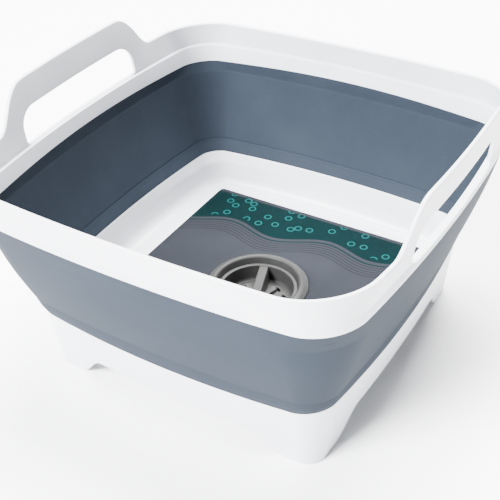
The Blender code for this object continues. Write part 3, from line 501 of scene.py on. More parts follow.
def rim_rows():
    """Rows of the rim's section, once round it, with the number of each upright face's first row.

    They go up the outside from the seam, over the top, down the inside to the ledge and round the lip below.
    """
    arcs = quarter_arc(0, 90, 5)
    rows = []
    for angle in quarter_arc(0, 90, 3)[:-1]:
        inset, rise = SOFT_EDGE * (1 - math.sin(angle)), SOFT_EDGE * (1 - math.cos(angle))
        rows.append(ring(RIM_SEAM_PLAN, inset, RIM_SEAM_Z + rise, arch=RIM_SEAM_ARCH))
    outside = len(rows)
    rows += [rim_face("outside", level) for level in LOWER_LEVELS]
    rows += [rim_face("outside", level) for level in UPPER_LEVELS[1:]]
    for angle in arcs[1:]:
        rows.append(rim_top_row(RIM_TOP_EDGE * (1 - math.cos(angle)), RIM_TOP_EDGE * (1 - math.sin(angle))))
    for angle in arcs[::-1]:
        inset = RIM_WALL - RIM_TOP_EDGE * (1 - math.cos(angle))
        rows.append(rim_top_row(inset, RIM_TOP_EDGE * (1 - math.sin(angle))))
    inside = len(rows) - 1
    rows += [rim_face("inside", level) for level in UPPER_LEVELS[-2::-1]]
    rows += [rim_face("inside", level) for level in LOWER_LEVELS[-2::-1]]
    for angle in quarter_arc(0, 90, 3)[1:]:
        inset = RIM_WALL + LEDGE_EDGE * (1 - math.cos(angle))
        rows.append(ring(plan_at(RIM_LEDGE_Z), inset, RIM_LEDGE_Z + LEDGE_EDGE * (1 - math.sin(angle))))
    for angle in quarter_arc(0, 90, 3):
        inset = RIM_LEDGE_INSET - SOFT_EDGE * (1 - math.sin(angle))
        rows.append(ring(RIM_SEAM_PLAN, inset, RIM_LEDGE_Z - SOFT_EDGE * (1 - math.cos(angle))))
    rows += [
        ring(RIM_SEAM_PLAN, RIM_LIP_INNER_INSET, RIM_LIP_Z + SOFT_EDGE / 2, arch=RIM_SEAM_ARCH),
        ring(RIM_SEAM_PLAN, RIM_LIP_INNER_INSET - SOFT_EDGE / 2, RIM_LIP_Z, arch=RIM_SEAM_ARCH),
        ring(RIM_SEAM_PLAN, RIM_LIP_OUTER_INSET, RIM_LIP_Z, arch=RIM_SEAM_ARCH),
        ring(RIM_SEAM_PLAN, RIM_LIP_OUTER_INSET, RIM_SEAM_Z, arch=RIM_SEAM_ARCH),
    ]
    return np.array(rows), outside, inside


def make_rim(surface):
    """Rim and both handles in one moulding, with each hand hole a ring of faces between its upright faces."""
    rows, outside, inside = rim_rows()
    faces = grid_faces(len(rows), rows.shape[1], True, True)
    row, column = np.divmod(np.arange(len(faces)), rows.shape[1])
    first = round((1 - BLOCK_SHARE) / 2 * SIDE_COLUMNS) - 1
    last = SIDE_COLUMNS - 2 - first
    half_round = rows.shape[1] // 2
    in_columns = (column % half_round >= first) & (column % half_round < last)
    block_rows = BLOCK_COUNTS[1] + BLOCK_COUNTS[2]
    in_outside = (row >= outside) & (row < outside + block_rows)
    all_levels = len(LOWER_LEVELS) + len(UPPER_LEVELS) - 2
    in_inside = (row >= inside + all_levels - block_rows) & (row < inside + all_levels)
    kept = faces[~(in_columns & (in_outside | in_inside))]
    hole = np.concatenate(
        [
            hole_patch("outside"),
            hole_edge_rows("outside", 1),
            hole_edge_rows("inside", -1)[::-1],
            hole_patch("inside")[::-1],
        ]
    )
    hole_grid = grid_faces(len(hole), hole.shape[1], False, True)
    parts = [(rows, kept), (hole, hole_grid), (hole * (-1, -1, 1), hole_grid)]
    return add_piece("rim_and_handles", parts, surface, "rim", ["rim_frame"])


# Base


def skirt_edge_height():
    """The skirt's lower edge: arch height x (1 - smooth((distance along - level half) / ease))."""
    x, y = outline(plan_at(0.0), 0.0)
    along = np.minimum(np.abs(x), np.abs(y))
    return SKIRT_ARCH_Z * (1 - smooth((along - ARCH_HALF) / ARCH_EASE))


def base_rows():
    """Rows of the base's section, once round it, from the top of the drain hole to its lower edge.

    They go along the floor, up the inner wall, over lip and step, down the outside and back underneath.
    """
    fillet_z = FLOOR_TOP_Z + BASE_FILLET
    rows = []
    fillet = []
    for angle in quarter_arc(0, 90, 10):
        inset = BASE_WALL + BASE_FILLET * (1 - math.sin(angle))
        fillet.append(ring(plan_at(fillet_z), inset, fillet_z - BASE_FILLET * math.cos(angle)))
    hole_top = circle_row(FLOOR_HOLE_RADIUS, FLOOR_TOP_Z, fillet[0])
    rows.append(hole_top)
    rows.extend(between(hole_top, fillet[0], 8))
    rows.extend(fillet)
    share = np.linspace(0, 1, 12)[1:]
    heights = fillet_z + (BASE_LIP_Z - SOFT_EDGE - fillet_z) * share
    rows.extend(level_rows(heights, BASE_WALL + (BASE_LIP_INNER_INSET - BASE_WALL) * share))
    for angle in quarter_arc(0, 90)[1:]:
        inset = BASE_LIP_INNER_INSET - SOFT_EDGE * (1 - math.cos(angle))
        rows.append(ring(plan_at(BASE_LIP_Z), inset, BASE_LIP_Z - SOFT_EDGE * (1 - math.sin(angle))))
    rows.append(ring(plan_at(BASE_LIP_Z), BASE_LIP_OUTER_INSET, BASE_LIP_Z))
    rows.append(ring(plan_at(BASE_SEAM_Z), BASE_STEP_INSET, BASE_SEAM_Z))
    for angle in quarter_arc(90, 0):
        inset = SOFT_EDGE * (1 - math.cos(angle))
        rows.append(ring(plan_at(BASE_SEAM_Z), inset, BASE_SEAM_Z - SOFT_EDGE * (1 - math.sin(angle))))
    rows.extend(level_rows(np.linspace(BASE_SEAM_Z - SOFT_EDGE, FLOOR_UNDER_Z, 9)[1:], 0))
    edge = skirt_edge_height()
    share = np.linspace(0, 1, 11)[1:, None]
    heights = FLOOR_UNDER_Z + (edge + SOFT_EDGE - FLOOR_UNDER_Z) * share
    rows.extend(ring(plan_at(heights), 0.0, heights))
    for angle in quarter_arc(0, 90)[1:]:
        inset, drop = SOFT_EDGE * (1 - math.cos(angle)), SOFT_EDGE * math.sin(angle)
        rows.append(ring(plan_at(edge), inset, edge + SOFT_EDGE - drop))
    for angle in quarter_arc(90, 0):
        inset, drop = BASE_WALL - SOFT_EDGE * (1 - math.cos(angle)), SOFT_EDGE * math.sin(angle)
        rows.append(ring(plan_at(edge), inset, edge + SOFT_EDGE - drop))
    share = np.linspace(0, 1, 7)[1:, None]
    heights = edge + SOFT_EDGE + (FLOOR_UNDER_Z - edge - SOFT_EDGE) * share
    rows.extend(ring(plan_at(heights), BASE_WALL, heights))
    hole_under = circle_row(FLOOR_HOLE_RADIUS, FLOOR_UNDER_Z, rows[-1])
    rows.extend(between(rows[-1], hole_under, 6))
    rows.append(hole_under)
    return np.array(rows)


def make_base(surface):
    """Base tray on four corner feet."""
    parts = [tube(base_rows())]
    return add_piece("base_tray_moulded", parts, surface, "base", ["base_tray"])


# Rubber wall


def bell(height, place, width):
    """A narrow bell about a height: exp(-((z - place) / width)^2)."""
    return np.exp(-(((height - place) / width) ** 2))


def inner_inset(heights):
    """How far the inside lies in from its plan: less behind both folds, more in a ridge at the lower one."""
    thinned = 0.0002 * bell(heights, UPPER_FOLD_Z, 0.0008)
    thinned_low = 0.0003 * bell(heights, FOLD_BACK_Z, 0.0007)
    return RUBBER - thinned - thinned_low + 0.0003 * bell(heights, LOWER_FOLD_Z, 0.0009)


def outer_inset(heights):
    """The shallow groove that runs round the outside under the lower fold."""
    return 0.0001 * bell(heights, FOLD_GROOVE_Z, 0.0009)


def wall_rows():
    """Rows of the rubber's section: up the outside from the base's step to the rim, and back down the inside.

    The outside follows its plan, let in a little under the lower fold. The inside lies its inset further in.
    Rows are closer at the folds and where the folded wall turns back.
    """
    low_turn, high_turn = LOWER_FOLD_Z + TURN_REACH, UPPER_FOLD_Z - TURN_REACH
    heights = np.concatenate(
        [
            np.linspace(BASE_SEAM_Z + TOUCH_GAP / 2, LOW_ROWS_END, 9),
            np.linspace(*LOWER_FOLD_ROWS, 14),
            np.linspace(PANEL_ROWS_START, low_turn, 4),
            np.linspace(low_turn, LOW_TURN_END, 7)[1:],
            np.linspace(*PANEL_ROWS, 17),
            np.linspace(HIGH_TURN_START, high_turn, 8),
            np.linspace(high_turn, UPPER_FOLD_Z, 9)[1:],
        ]
    )
    rows = list(level_rows(heights, outer_inset(heights)))
    top_z = RIM_SEAM_Z - TOUCH_GAP / 3
    share = np.concatenate([np.linspace(0, 0.12, 5)[1:], np.linspace(0.2, 1, 10)])
    heights = UPPER_FOLD_Z + (top_z - UPPER_FOLD_Z) * share
    rows.extend(level_rows(heights, RIM_OVERHANG * share, arch=RIM_SEAM_ARCH * share))
    lip_under = RIM_LIP_Z - TOUCH_GAP / 3
    rows += [
        ring(RIM_SEAM_PLAN, RIM_LIP_OUTER_INSET - TOUCH_GAP, top_z, arch=RIM_SEAM_ARCH),
        ring(RIM_SEAM_PLAN, RIM_LIP_OUTER_INSET - TOUCH_GAP, lip_under, arch=RIM_SEAM_ARCH),
        ring(RIM_SEAM_PLAN, RIM_LIP_INNER_INSET - LIP_CORNER, lip_under, arch=RIM_SEAM_ARCH),
    ]
    share = np.linspace(0, 1, 10)[:-1, None]
    heights = lip_under - LIP_CORNER + (UPPER_FOLD_Z - lip_under + LIP_CORNER) * share
    fold_inset = inner_inset(UPPER_FOLD_Z)
    plans = RIM_SEAM_PLAN + (plan_at(UPPER_FOLD_Z) - RIM_SEAM_PLAN) * share[..., None]
    insets = RIM_LIP_INNER_INSET + (fold_inset - RIM_LIP_INNER_INSET) * share
    rows.extend(ring(plans, insets, heights, arch=RIM_SEAM_ARCH * (1 - share)))
    heights = np.concatenate(
        [
            np.linspace(UPPER_FOLD_Z, high_turn, 11),
            np.linspace(high_turn, HIGH_TURN_START, 8)[1:],
            np.linspace(*PANEL_ROWS[::-1], 17),
            np.linspace(LOW_TURN_END, low_turn, 7),
            np.linspace(low_turn, LOWER_FOLD_Z, 19)[1:],
        ]
    )
    insets = inner_inset(heights)
    rows.extend(level_rows(heights, insets))
    over_lip = BASE_LIP_Z + TOUCH_GAP / 3
    share = np.linspace(0, 1, 6)[1:]
    low_insets = insets[-1] + (BASE_LIP_INNER_INSET - insets[-1]) * share
    rows.extend(level_rows(LOWER_FOLD_Z + (over_lip + LIP_CORNER - LOWER_FOLD_Z) * share, low_insets))
    lip_insets = [BASE_LIP_INNER_INSET - LIP_CORNER, BASE_LIP_OUTER_INSET - TOUCH_GAP]
    rows.extend(level_rows([over_lip, over_lip], lip_insets))
    rows.extend(level_rows([BASE_SEAM_Z + TOUCH_GAP / 2], [BASE_STEP_INSET - TOUCH_GAP]))
    return np.array(rows)


def fold_core(heights):
    """Rows of a ring inside the rubber at a fold, a skin in from both faces, which rounds the bent fold."""
    outside = level_rows(heights, CORE_SKIN + outer_inset(heights))
    inside = level_rows(heights, inner_inset(heights) - CORE_SKIN)
    return np.concatenate([outside, inside[::-1]])


def make_wall(surface):
    """The folding wall as the one moulding it is, from base to rim."""
    low_core = np.linspace(LOWER_FOLD_Z - FOLD_REACH, LOWER_FOLD_Z + TURN_REACH, 8)
    high_core = np.linspace(UPPER_FOLD_Z - TURN_REACH, UPPER_FOLD_Z + FOLD_REACH, 8)
    parts = [tube(wall_rows()), tube(fold_core(low_core)), tube(fold_core(high_core))]
    replaced = ["wall_lower_collar", "wall_fold_panel", "wall_upper_collar"]
    wall = add_piece("folding_wall", parts, surface, None, replaced)
    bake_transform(wall)
    return wall


# Card


def make_card(surface):
    """Thin card with rounded corners: rows run from its hole to the edge, over it and back underneath."""
    low, high = FLOOR_TOP_Z + TOUCH_GAP, FLOOR_TOP_Z + TOUCH_GAP + CARD_THICKNESS
    angle = np.arange(360) / 360 * 2 * math.pi
    direction = np.stack([np.cos(angle), np.sin(angle)], axis=-1)

    def edge_row(inset, height):
        """Where each direction d meets a rectangle whose corners are quarter circles.

        It is the rectangle's side, or past a corner's middle c the circle of radius r about it:
        d.c + square root of (d.c)^2 - c^2 + r^2.
        """
        half_x = np.where(direction[:, 0] < 0, CARD_LEFT, CARD_RIGHT)
        half = np.stack([half_x, np.full(len(half_x), CARD_HALF_Y)], axis=-1) - inset
        core = half - CARD_CORNER
        reach = np.min(half / np.maximum(np.abs(direction), 1e-9), axis=1)
        place = np.abs(direction * reach[:, None])
        past = np.all(place > core, axis=1)
        along = np.sum(np.abs(direction) * core, axis=1)
        depth = np.sum(core**2, axis=1) - CARD_CORNER**2
        corner = along + np.sqrt(np.maximum(along**2 - depth, 0))
        reach = np.where(past, corner, reach)
        return np.column_stack([direction * reach[:, None], np.full(len(reach), height)])

    def hole_row(radius, height):
        return np.column_stack([direction * radius, np.full(len(direction), height)])

    top_edge, top_hole = edge_row(CARD_EDGE, high), hole_row(CARD_HOLE + CARD_EDGE, high)
    low_edge, low_hole = edge_row(0, low), hole_row(CARD_HOLE, low)
    rows = [top_hole, *between(top_hole, top_edge, 10), top_edge, edge_row(0, high - CARD_EDGE), low_edge]
    rows += [*between(low_edge, low_hole, 2), low_hole, hole_row(CARD_HOLE, high - CARD_EDGE)]
    parts = [tube(np.array(rows))]
    return add_piece("printed_floor_card", parts, surface, "base", ["floor_card"])


# Drain


def make_drain(surface):
    """Drain collar turned from a softly crowned flange, a barrel and a seat."""
    crown_z = FLOOR_TOP_Z + DRAIN_CROWN_RISE
    profile = rounded_profile(
        [
            (DRAIN_BARREL, DRAIN_END_Z, 0.0003),
            (DRAIN_BARREL, DRAIN_POCKET_Z, 0),
            (DRAIN_POCKET, DRAIN_POCKET_Z, 0),
            (DRAIN_POCKET, FLOOR_TOP_Z + TOUCH_GAP, 0),
            (DRAIN_FLANGE, FLOOR_TOP_Z + TOUCH_GAP, 0.0002),
            (DRAIN_FLANGE, FLOOR_TOP_Z + 0.0017, 0.0007),
            (0.0376, crown_z - 0.0009, 0.0040),
            (DRAIN_CROWN, crown_z + 0.0002, 0.0016),
            (0.0332, crown_z - 0.0010, 0.0010),
            (DRAIN_BORE, PLUG_TOP_Z, 0.0005),
            (DRAIN_BORE, DRAIN_SEAT_Z, 0),
            (DRAIN_SEAT_RADIUS, DRAIN_SEAT_Z, 0.0003),
            (DRAIN_SEAT_RADIUS, DRAIN_END_Z, 0.0003),
        ],
        steps=6,
    )
    part = turned(profile, 240)
    return add_piece("drain_collar_turned", [part], surface, "base", ["drain_collar"])


def make_locknut(surface):
    """Ring nut whose outer wall swells into six soft lugs, with a ribbed grip between them."""
    high = FLOOR_UNDER_Z - TOUCH_GAP
    low = high - NUT_HEIGHT

    def swell(radius, height, angle):
        """Six lugs, each its height x a flat-topped bell of the angle, with cosine ribs between them.

        They are on the outer wall alone, and away from the two faces.
        """
        turn = (angle + math.pi / 6) % (math.pi / 3) - math.pi / 6
        lug = NUT_LUG * (1 - smooth((np.abs(turn) * NUT_REACH - NUT_LUG_HALF) / NUT_LUG_SIDE))
        ribs = NUT_RIB * np.cos(angle * NUT_RIB_COUNT) * (np.abs(turn) * NUT_REACH > NUT_RIB_START)
        middle = (height > low + 0.0005) & (height < high - 0.0005)
        return np.where((radius > NUT_OUTER - 0.0010) & middle, lug + ribs, 0)

    rises = [0, NUT_EDGE, 0.00069, 0.00071]  # of the outer wall's rows from either face
    wall = [(NUT_OUTER - NUT_EDGE * (rise == 0), low + rise) for rise in rises]
    wall += [(NUT_OUTER, (low + high) / 2)]
    wall += [(NUT_OUTER - NUT_EDGE * (rise == 0), high - rise) for rise in rises[::-1]]
    part = turned([(NUT_INNER, low), *wall, (NUT_INNER, high)], 504, swell)
    return add_piece("drain_locknut_moulded", [part], surface, "base", ["drain_locknut"], 40)


def raised(distance, floor, height, edge, foot):
    """Height of a boss against the distance outside its top's plan: rounded edge, leaning side, soft foot.

    It is a broken line through the depths below the top, at the distances in steps.
    """
    steps = [-1e-3 - edge, -edge, -edge * 0.7, -edge * 0.4, -edge * 0.15, 0, foot * 0.6, foot]
    depth = [0, 0, edge * 0.05, edge * 0.20, edge * 0.47, edge, height - edge * 0.35, height]
    return floor + height - np.interp(distance, steps, depth)


def plug_top(radius, angle, cup):
    """Height of the plug's upper face: the highest of cup, bar and eight fingers, let in at slot edges."""
    x, y = radius * np.cos(angle), radius * np.sin(angle)
    across = -x * math.sin(PLUG_ANGLE) + y * math.cos(PLUG_ANGLE)
    bar_height = PLUG_TOP_Z - GRIP_BAR_DROP - PLUG_FLOOR_Z
    height = np.maximum(cup, raised(np.abs(across) - GRIP_BAR_HALF, PLUG_FLOOR_Z, bar_height, 0.0010, 0.0011))
    turn = (angle - PLUG_ANGLE) % (2 * math.pi)
    station = np.round(turn / PLUG_PITCH)
    turn = turn - station * PLUG_PITCH
    finger = station % (PLUG_STATIONS // 2) != 0
    out, side = radius * np.cos(turn), radius * np.sin(turn)
    past = np.hypot(np.maximum(out - FINGER_CENTRE, 0), side) - FINGER_RADIUS
    lobe = raised(past, PLUG_FLOOR_Z, FINGER_HEIGHT, 0.0011, 0.0004)
    height = np.where(finger, np.maximum(height, lobe), height)
    ring_distance = np.hypot(out - FINGER_CENTRE, side)
    around = np.abs(np.arctan2(side, out - FINGER_CENTRE)) < SLOT_HALF_ANGLE
    to_slot = np.maximum(SLOT_INNER - ring_distance, ring_distance - SLOT_OUTER)
    soften = np.where(finger & around, 0.0003 * np.exp(-((to_slot / 0.0004) ** 2)), 0)
    return height - soften


def slot_cutters():
    """Eight prisms that cut the slots: their plan lies between two arcs about a finger's end."""
    angle = np.linspace(-SLOT_HALF_ANGLE, SLOT_HALF_ANGLE, 17)
    near = np.column_stack([FINGER_CENTRE + SLOT_INNER * np.cos(angle), SLOT_INNER * np.sin(angle)])
    far = np.column_stack([FINGER_CENTRE + SLOT_OUTER * np.cos(angle), SLOT_OUTER * np.sin(angle)])[::-1]
    plan = np.concatenate([near, far])
    count = len(plan)
    low, high = PLUG_Z - 0.002, PLUG_FLOOR_Z + 0.002
    points, faces = [], []
    for station in range(PLUG_STATIONS):
        if station % (PLUG_STATIONS // 2) == 0:
            continue
        turn = PLUG_ANGLE + station * PLUG_PITCH
        matrix = np.array([[math.cos(turn), math.sin(turn)], [-math.sin(turn), math.cos(turn)]])
        start = len(points) * count
        points += [np.column_stack([plan @ matrix, np.full(count, height)]) for height in (low, high)]
        faces.extend((grid_faces(2, count, False, True) + start).tolist())
        faces.append(list(range(start, start + count)))
        faces.append(list(range(start + count, start + 2 * count)))
    mesh = bpy.data.meshes.new("slot_cutters")
    mesh.from_pydata(np.concatenate(points).tolist(), [], faces)
    shape = bmesh.new()
    shape.from_mesh(mesh)
    bmesh.ops.recalc_face_normals(shape, faces=shape.faces)
    shape.to_mesh(mesh)
    shape.free()
    cutter = bpy.data.objects.new("slot_cutters", mesh)
    bpy.context.scene.collection.objects.link(cutter)
    return cutter


def make_plug(surface):
    """Twist plug: its underside and grooved wall are turned, and its top is a height by radius and angle."""
    count = 480
    angle = np.arange(count)[None] / count * 2 * math.pi
    under = [(0, PLUG_Z + SCREW_DEPTH), (SCREW_HOLE, PLUG_Z + SCREW_DEPTH), (SCREW_HOLE, PLUG_Z)]
    low_edge = [(0.0018, 0), (0.0005, 0.0005), (0, 0.0018)]
    under += [(PLUG_RADIUS - inset, PLUG_Z + rise) for inset, rise in low_edge]
    groove = [(0, -1), (-1, -1), (-1, 1), (0, 1)]
    under += [(PLUG_RADIUS + O_RING_GROOVE * out, O_RING_Z + O_RING_GROOVE * up) for out, up in groove]
    under += [(PLUG_RADIUS, PLUG_TOP_Z - PLUG_LIP), (PLUG_EDGE_RADIUS, PLUG_TOP_Z - PLUG_LIP)]
    for turn in quarter_arc(0, 90):
        inset, drop = PLUG_LIP_EDGE * (1 - math.cos(turn)), PLUG_LIP_EDGE * (1 - math.sin(turn))
        under.append((PLUG_EDGE_RADIUS - inset, PLUG_TOP_Z - drop))
    cup = rounded_profile(
        [
            (PLUG_EDGE_RADIUS - 0.0006, PLUG_TOP_Z, 0),
            (PLUG_INNER_RADIUS + 0.0003, PLUG_TOP_Z, 0.0007),
            (PLUG_INNER_RADIUS - 0.0004, PLUG_FLOOR_Z, 0.0026),
            (0.0246, PLUG_FLOOR_Z, 0),
        ],
        closed=False,
        steps=8,
    )
    arc_end = 10  # the wall between the two arcs is one long step, which is parted to carry the bar's ends
    steps = np.linspace(0, 1, 12)[1:-1, None]
    wall = cup[arc_end - 1] + (cup[arc_end] - cup[arc_end - 1]) * steps
    floor = np.column_stack([np.linspace(0.0243, 0.0002, 84), np.full(84, PLUG_FLOOR_Z)])
    cup = np.concatenate([cup[:arc_end], wall, cup[arc_end:], floor, [[0, PLUG_FLOOR_Z]]])
    top = plug_top(cup[:, :1], angle, cup[:, 1:])
    side, _ = turned(under, count)
    face = np.stack([cup[:, :1] * np.cos(angle), cup[:, :1] * np.sin(angle), top], axis=-1)
    rows = np.concatenate([side, face])
    part = (rows, grid_faces(len(rows), count, False, True))
    plug = add_piece("twist_plug_moulded", [part], surface, "plug", ["twist_plug"], 42)
    cutter = slot_cutters()
    step = plug.modifiers.new("slots", "BOOLEAN")
    step.operation = "DIFFERENCE"
    step.solver = "EXACT"
    step.object = cutter
    bpy.context.view_layer.update()
    cut = bpy.data.meshes.new_from_object(plug.evaluated_get(bpy.context.evaluated_depsgraph_get()))
    plug.modifiers.clear()
    plug.data = cut
    cut.set_sharp_from_angle(angle=math.radians(42))
    bpy.data.objects.remove(cutter)
    return plug


# Materials


def colour(text):
    """An sRGB hex value as linear red, green, blue and full alpha."""
    values = [int(text[index : index + 2], 16) / 255 for index in (0, 2, 4)]
    linear = [value / 12.92 if value <= 0.04045 else ((value + 0.055) / 1.055) ** 2.4 for value in values]
    return (*linear, 1.0)


def add(tree, kind, inputs=(), stops=(), **settings):
    """Adds a node; each input is a number, a colour or another node's output, by name or in order.

    A colour ramp's stops are pairs of a position with a hex value or a grey level.
    """
    node = tree.nodes.new(kind)
    for name, value in settings.items():
        setattr(node, name, value)
    named = inputs.items() if isinstance(inputs, dict) else enumerate(inputs)
    for name, value in named:
        if isinstance(value, bpy.types.NodeSocket):
            tree.links.new(value, node.inputs[name])
        else:
            node.inputs[name].default_value = value
    if stops:
        for element, (position, tone) in zip(node.color_ramp.elements, stops):
            element.position = position
            element.color = colour(tone) if isinstance(tone, str) else (tone, tone, tone, 1)
    return node


def start_material(name, shader_settings):
    """A material with its shader's own sockets set, its node tree, and the object's coordinates."""
    made = bpy.data.materials.new(name)
    made.use_nodes = True
    tree = made.node_tree
    for socket, value in shader_settings.items():
        tree.nodes["Principled BSDF"].inputs[socket].default_value = value
    return made, tree, add(tree, "ShaderNodeTexCoord").outputs["Object"]


def finish_material(made, *outputs):
    """Links the outputs, in this order, to the shader's base colour, roughness and normal."""
    shader = made.node_tree.nodes["Principled BSDF"]
    for output, socket in zip(outputs, ("Base Color", "Roughness", "Normal")):
        made.node_tree.links.new(output, shader.inputs[socket])
    return made


def moulded_polypropylene(name, light, dark, roughness, grain, gloss=0.45):
    """Injection-moulded polypropylene: clean, slightly milky, with a satin grain and faint sink waves.

    Grain is the size of the spark-eroded mould's texture in metres. The real one is about 0.1 mm, drawn as
    0.6 to 0.7 mm so that it shows. Flow marks are 31 mm and sink waves 18 mm across.
    """
    settings = {"IOR": 1.49, "Metallic": 0.0, "Subsurface Weight": 0.06, "Subsurface Scale": 0.004}
    settings |= {"Subsurface Radius": (1.0, 0.95, 0.9), "Specular IOR Level": gloss}
    made, tree, place = start_material(name, settings)
    flow = add(tree, "ShaderNodeTexNoise", {"Vector": place, "Scale": 32, "Detail": 3, "Roughness": 0.45})
    tone = add(tree, "ShaderNodeValToRGB", [flow.outputs["Fac"]], [(0.35, dark), (0.65, light)])
    inputs = {"Vector": place, "Scale": 1 / grain, "Detail": 4, "Roughness": 0.6}
    fine = add(tree, "ShaderNodeTexNoise", inputs)
    low, high = roughness - 0.05, roughness + 0.05
    spread = add(tree, "ShaderNodeMapRange", {"Value": fine.outputs["Fac"], "To Min": low, "To Max": high})
    wave = add(tree, "ShaderNodeTexNoise", {"Vector": place, "Scale": 55, "Detail": 1})
    sink = add(tree, "ShaderNodeBump", {"Strength": 0.10, "Distance": 0.0006, "Height": wave.outputs["Fac"]})
    over = {"Height": fine.outputs["Fac"], "Normal": sink.outputs["Normal"]}
    skin = add(tree, "ShaderNodeBump", {"Strength": 0.16, "Distance": 0.00005, **over})
    return finish_material(made, tone.outputs["Color"], spread.outputs["Result"], skin.outputs["Normal"])


def soft_rubber(name, light, dark, roughness):
    """Moulded thermoplastic rubber: matt and slightly cloudy, with a fine skin, dry bloom and a little dust.

    Clouds are 38 mm across and specks of dust 1.1 mm. The skin's grain of 0.6 mm is coarser than the real
    one, so that it shows.
    """
    settings = {"IOR": 1.48, "Metallic": 0.0, "Specular IOR Level": 0.04}
    settings |= {"Sheen Weight": 0.01, "Sheen Roughness": 0.5}
    made, tree, place = start_material(name, settings)
    cloud = add(tree, "ShaderNodeTexNoise", {"Vector": place, "Scale": 26, "Detail": 4, "Roughness": 0.55})
    body = add(tree, "ShaderNodeValToRGB", [cloud.outputs["Fac"]], [(0.3, dark), (0.7, light)])
    speck = add(tree, "ShaderNodeTexNoise", {"Vector": place, "Scale": 900, "Detail": 2})
    dust = add(tree, "ShaderNodeValToRGB", [speck.outputs["Fac"]], [(0.64, 0.0), (0.78, 0.25)])
    inputs = {"Factor": dust.outputs["Color"], "A": body.outputs["Color"], "B": colour("3A4550")}
    dusted = add(tree, "ShaderNodeMix", inputs, data_type="RGBA")
    low, high = roughness - 0.06, roughness + 0.06
    spread = add(tree, "ShaderNodeMapRange", {"Value": cloud.outputs["Fac"], "To Min": low, "To Max": high})
    skin = add(tree, "ShaderNodeTexNoise", {"Vector": place, "Scale": 1600, "Detail": 3, "Roughness": 0.6})
    bump = add(tree, "ShaderNodeBump", {"Strength": 0.2, "Distance": 0.00006, "Height": skin.outputs["Fac"]})
    return finish_material(made, dusted.outputs["Result"], spread.outputs["Result"], bump.outputs["Normal"])


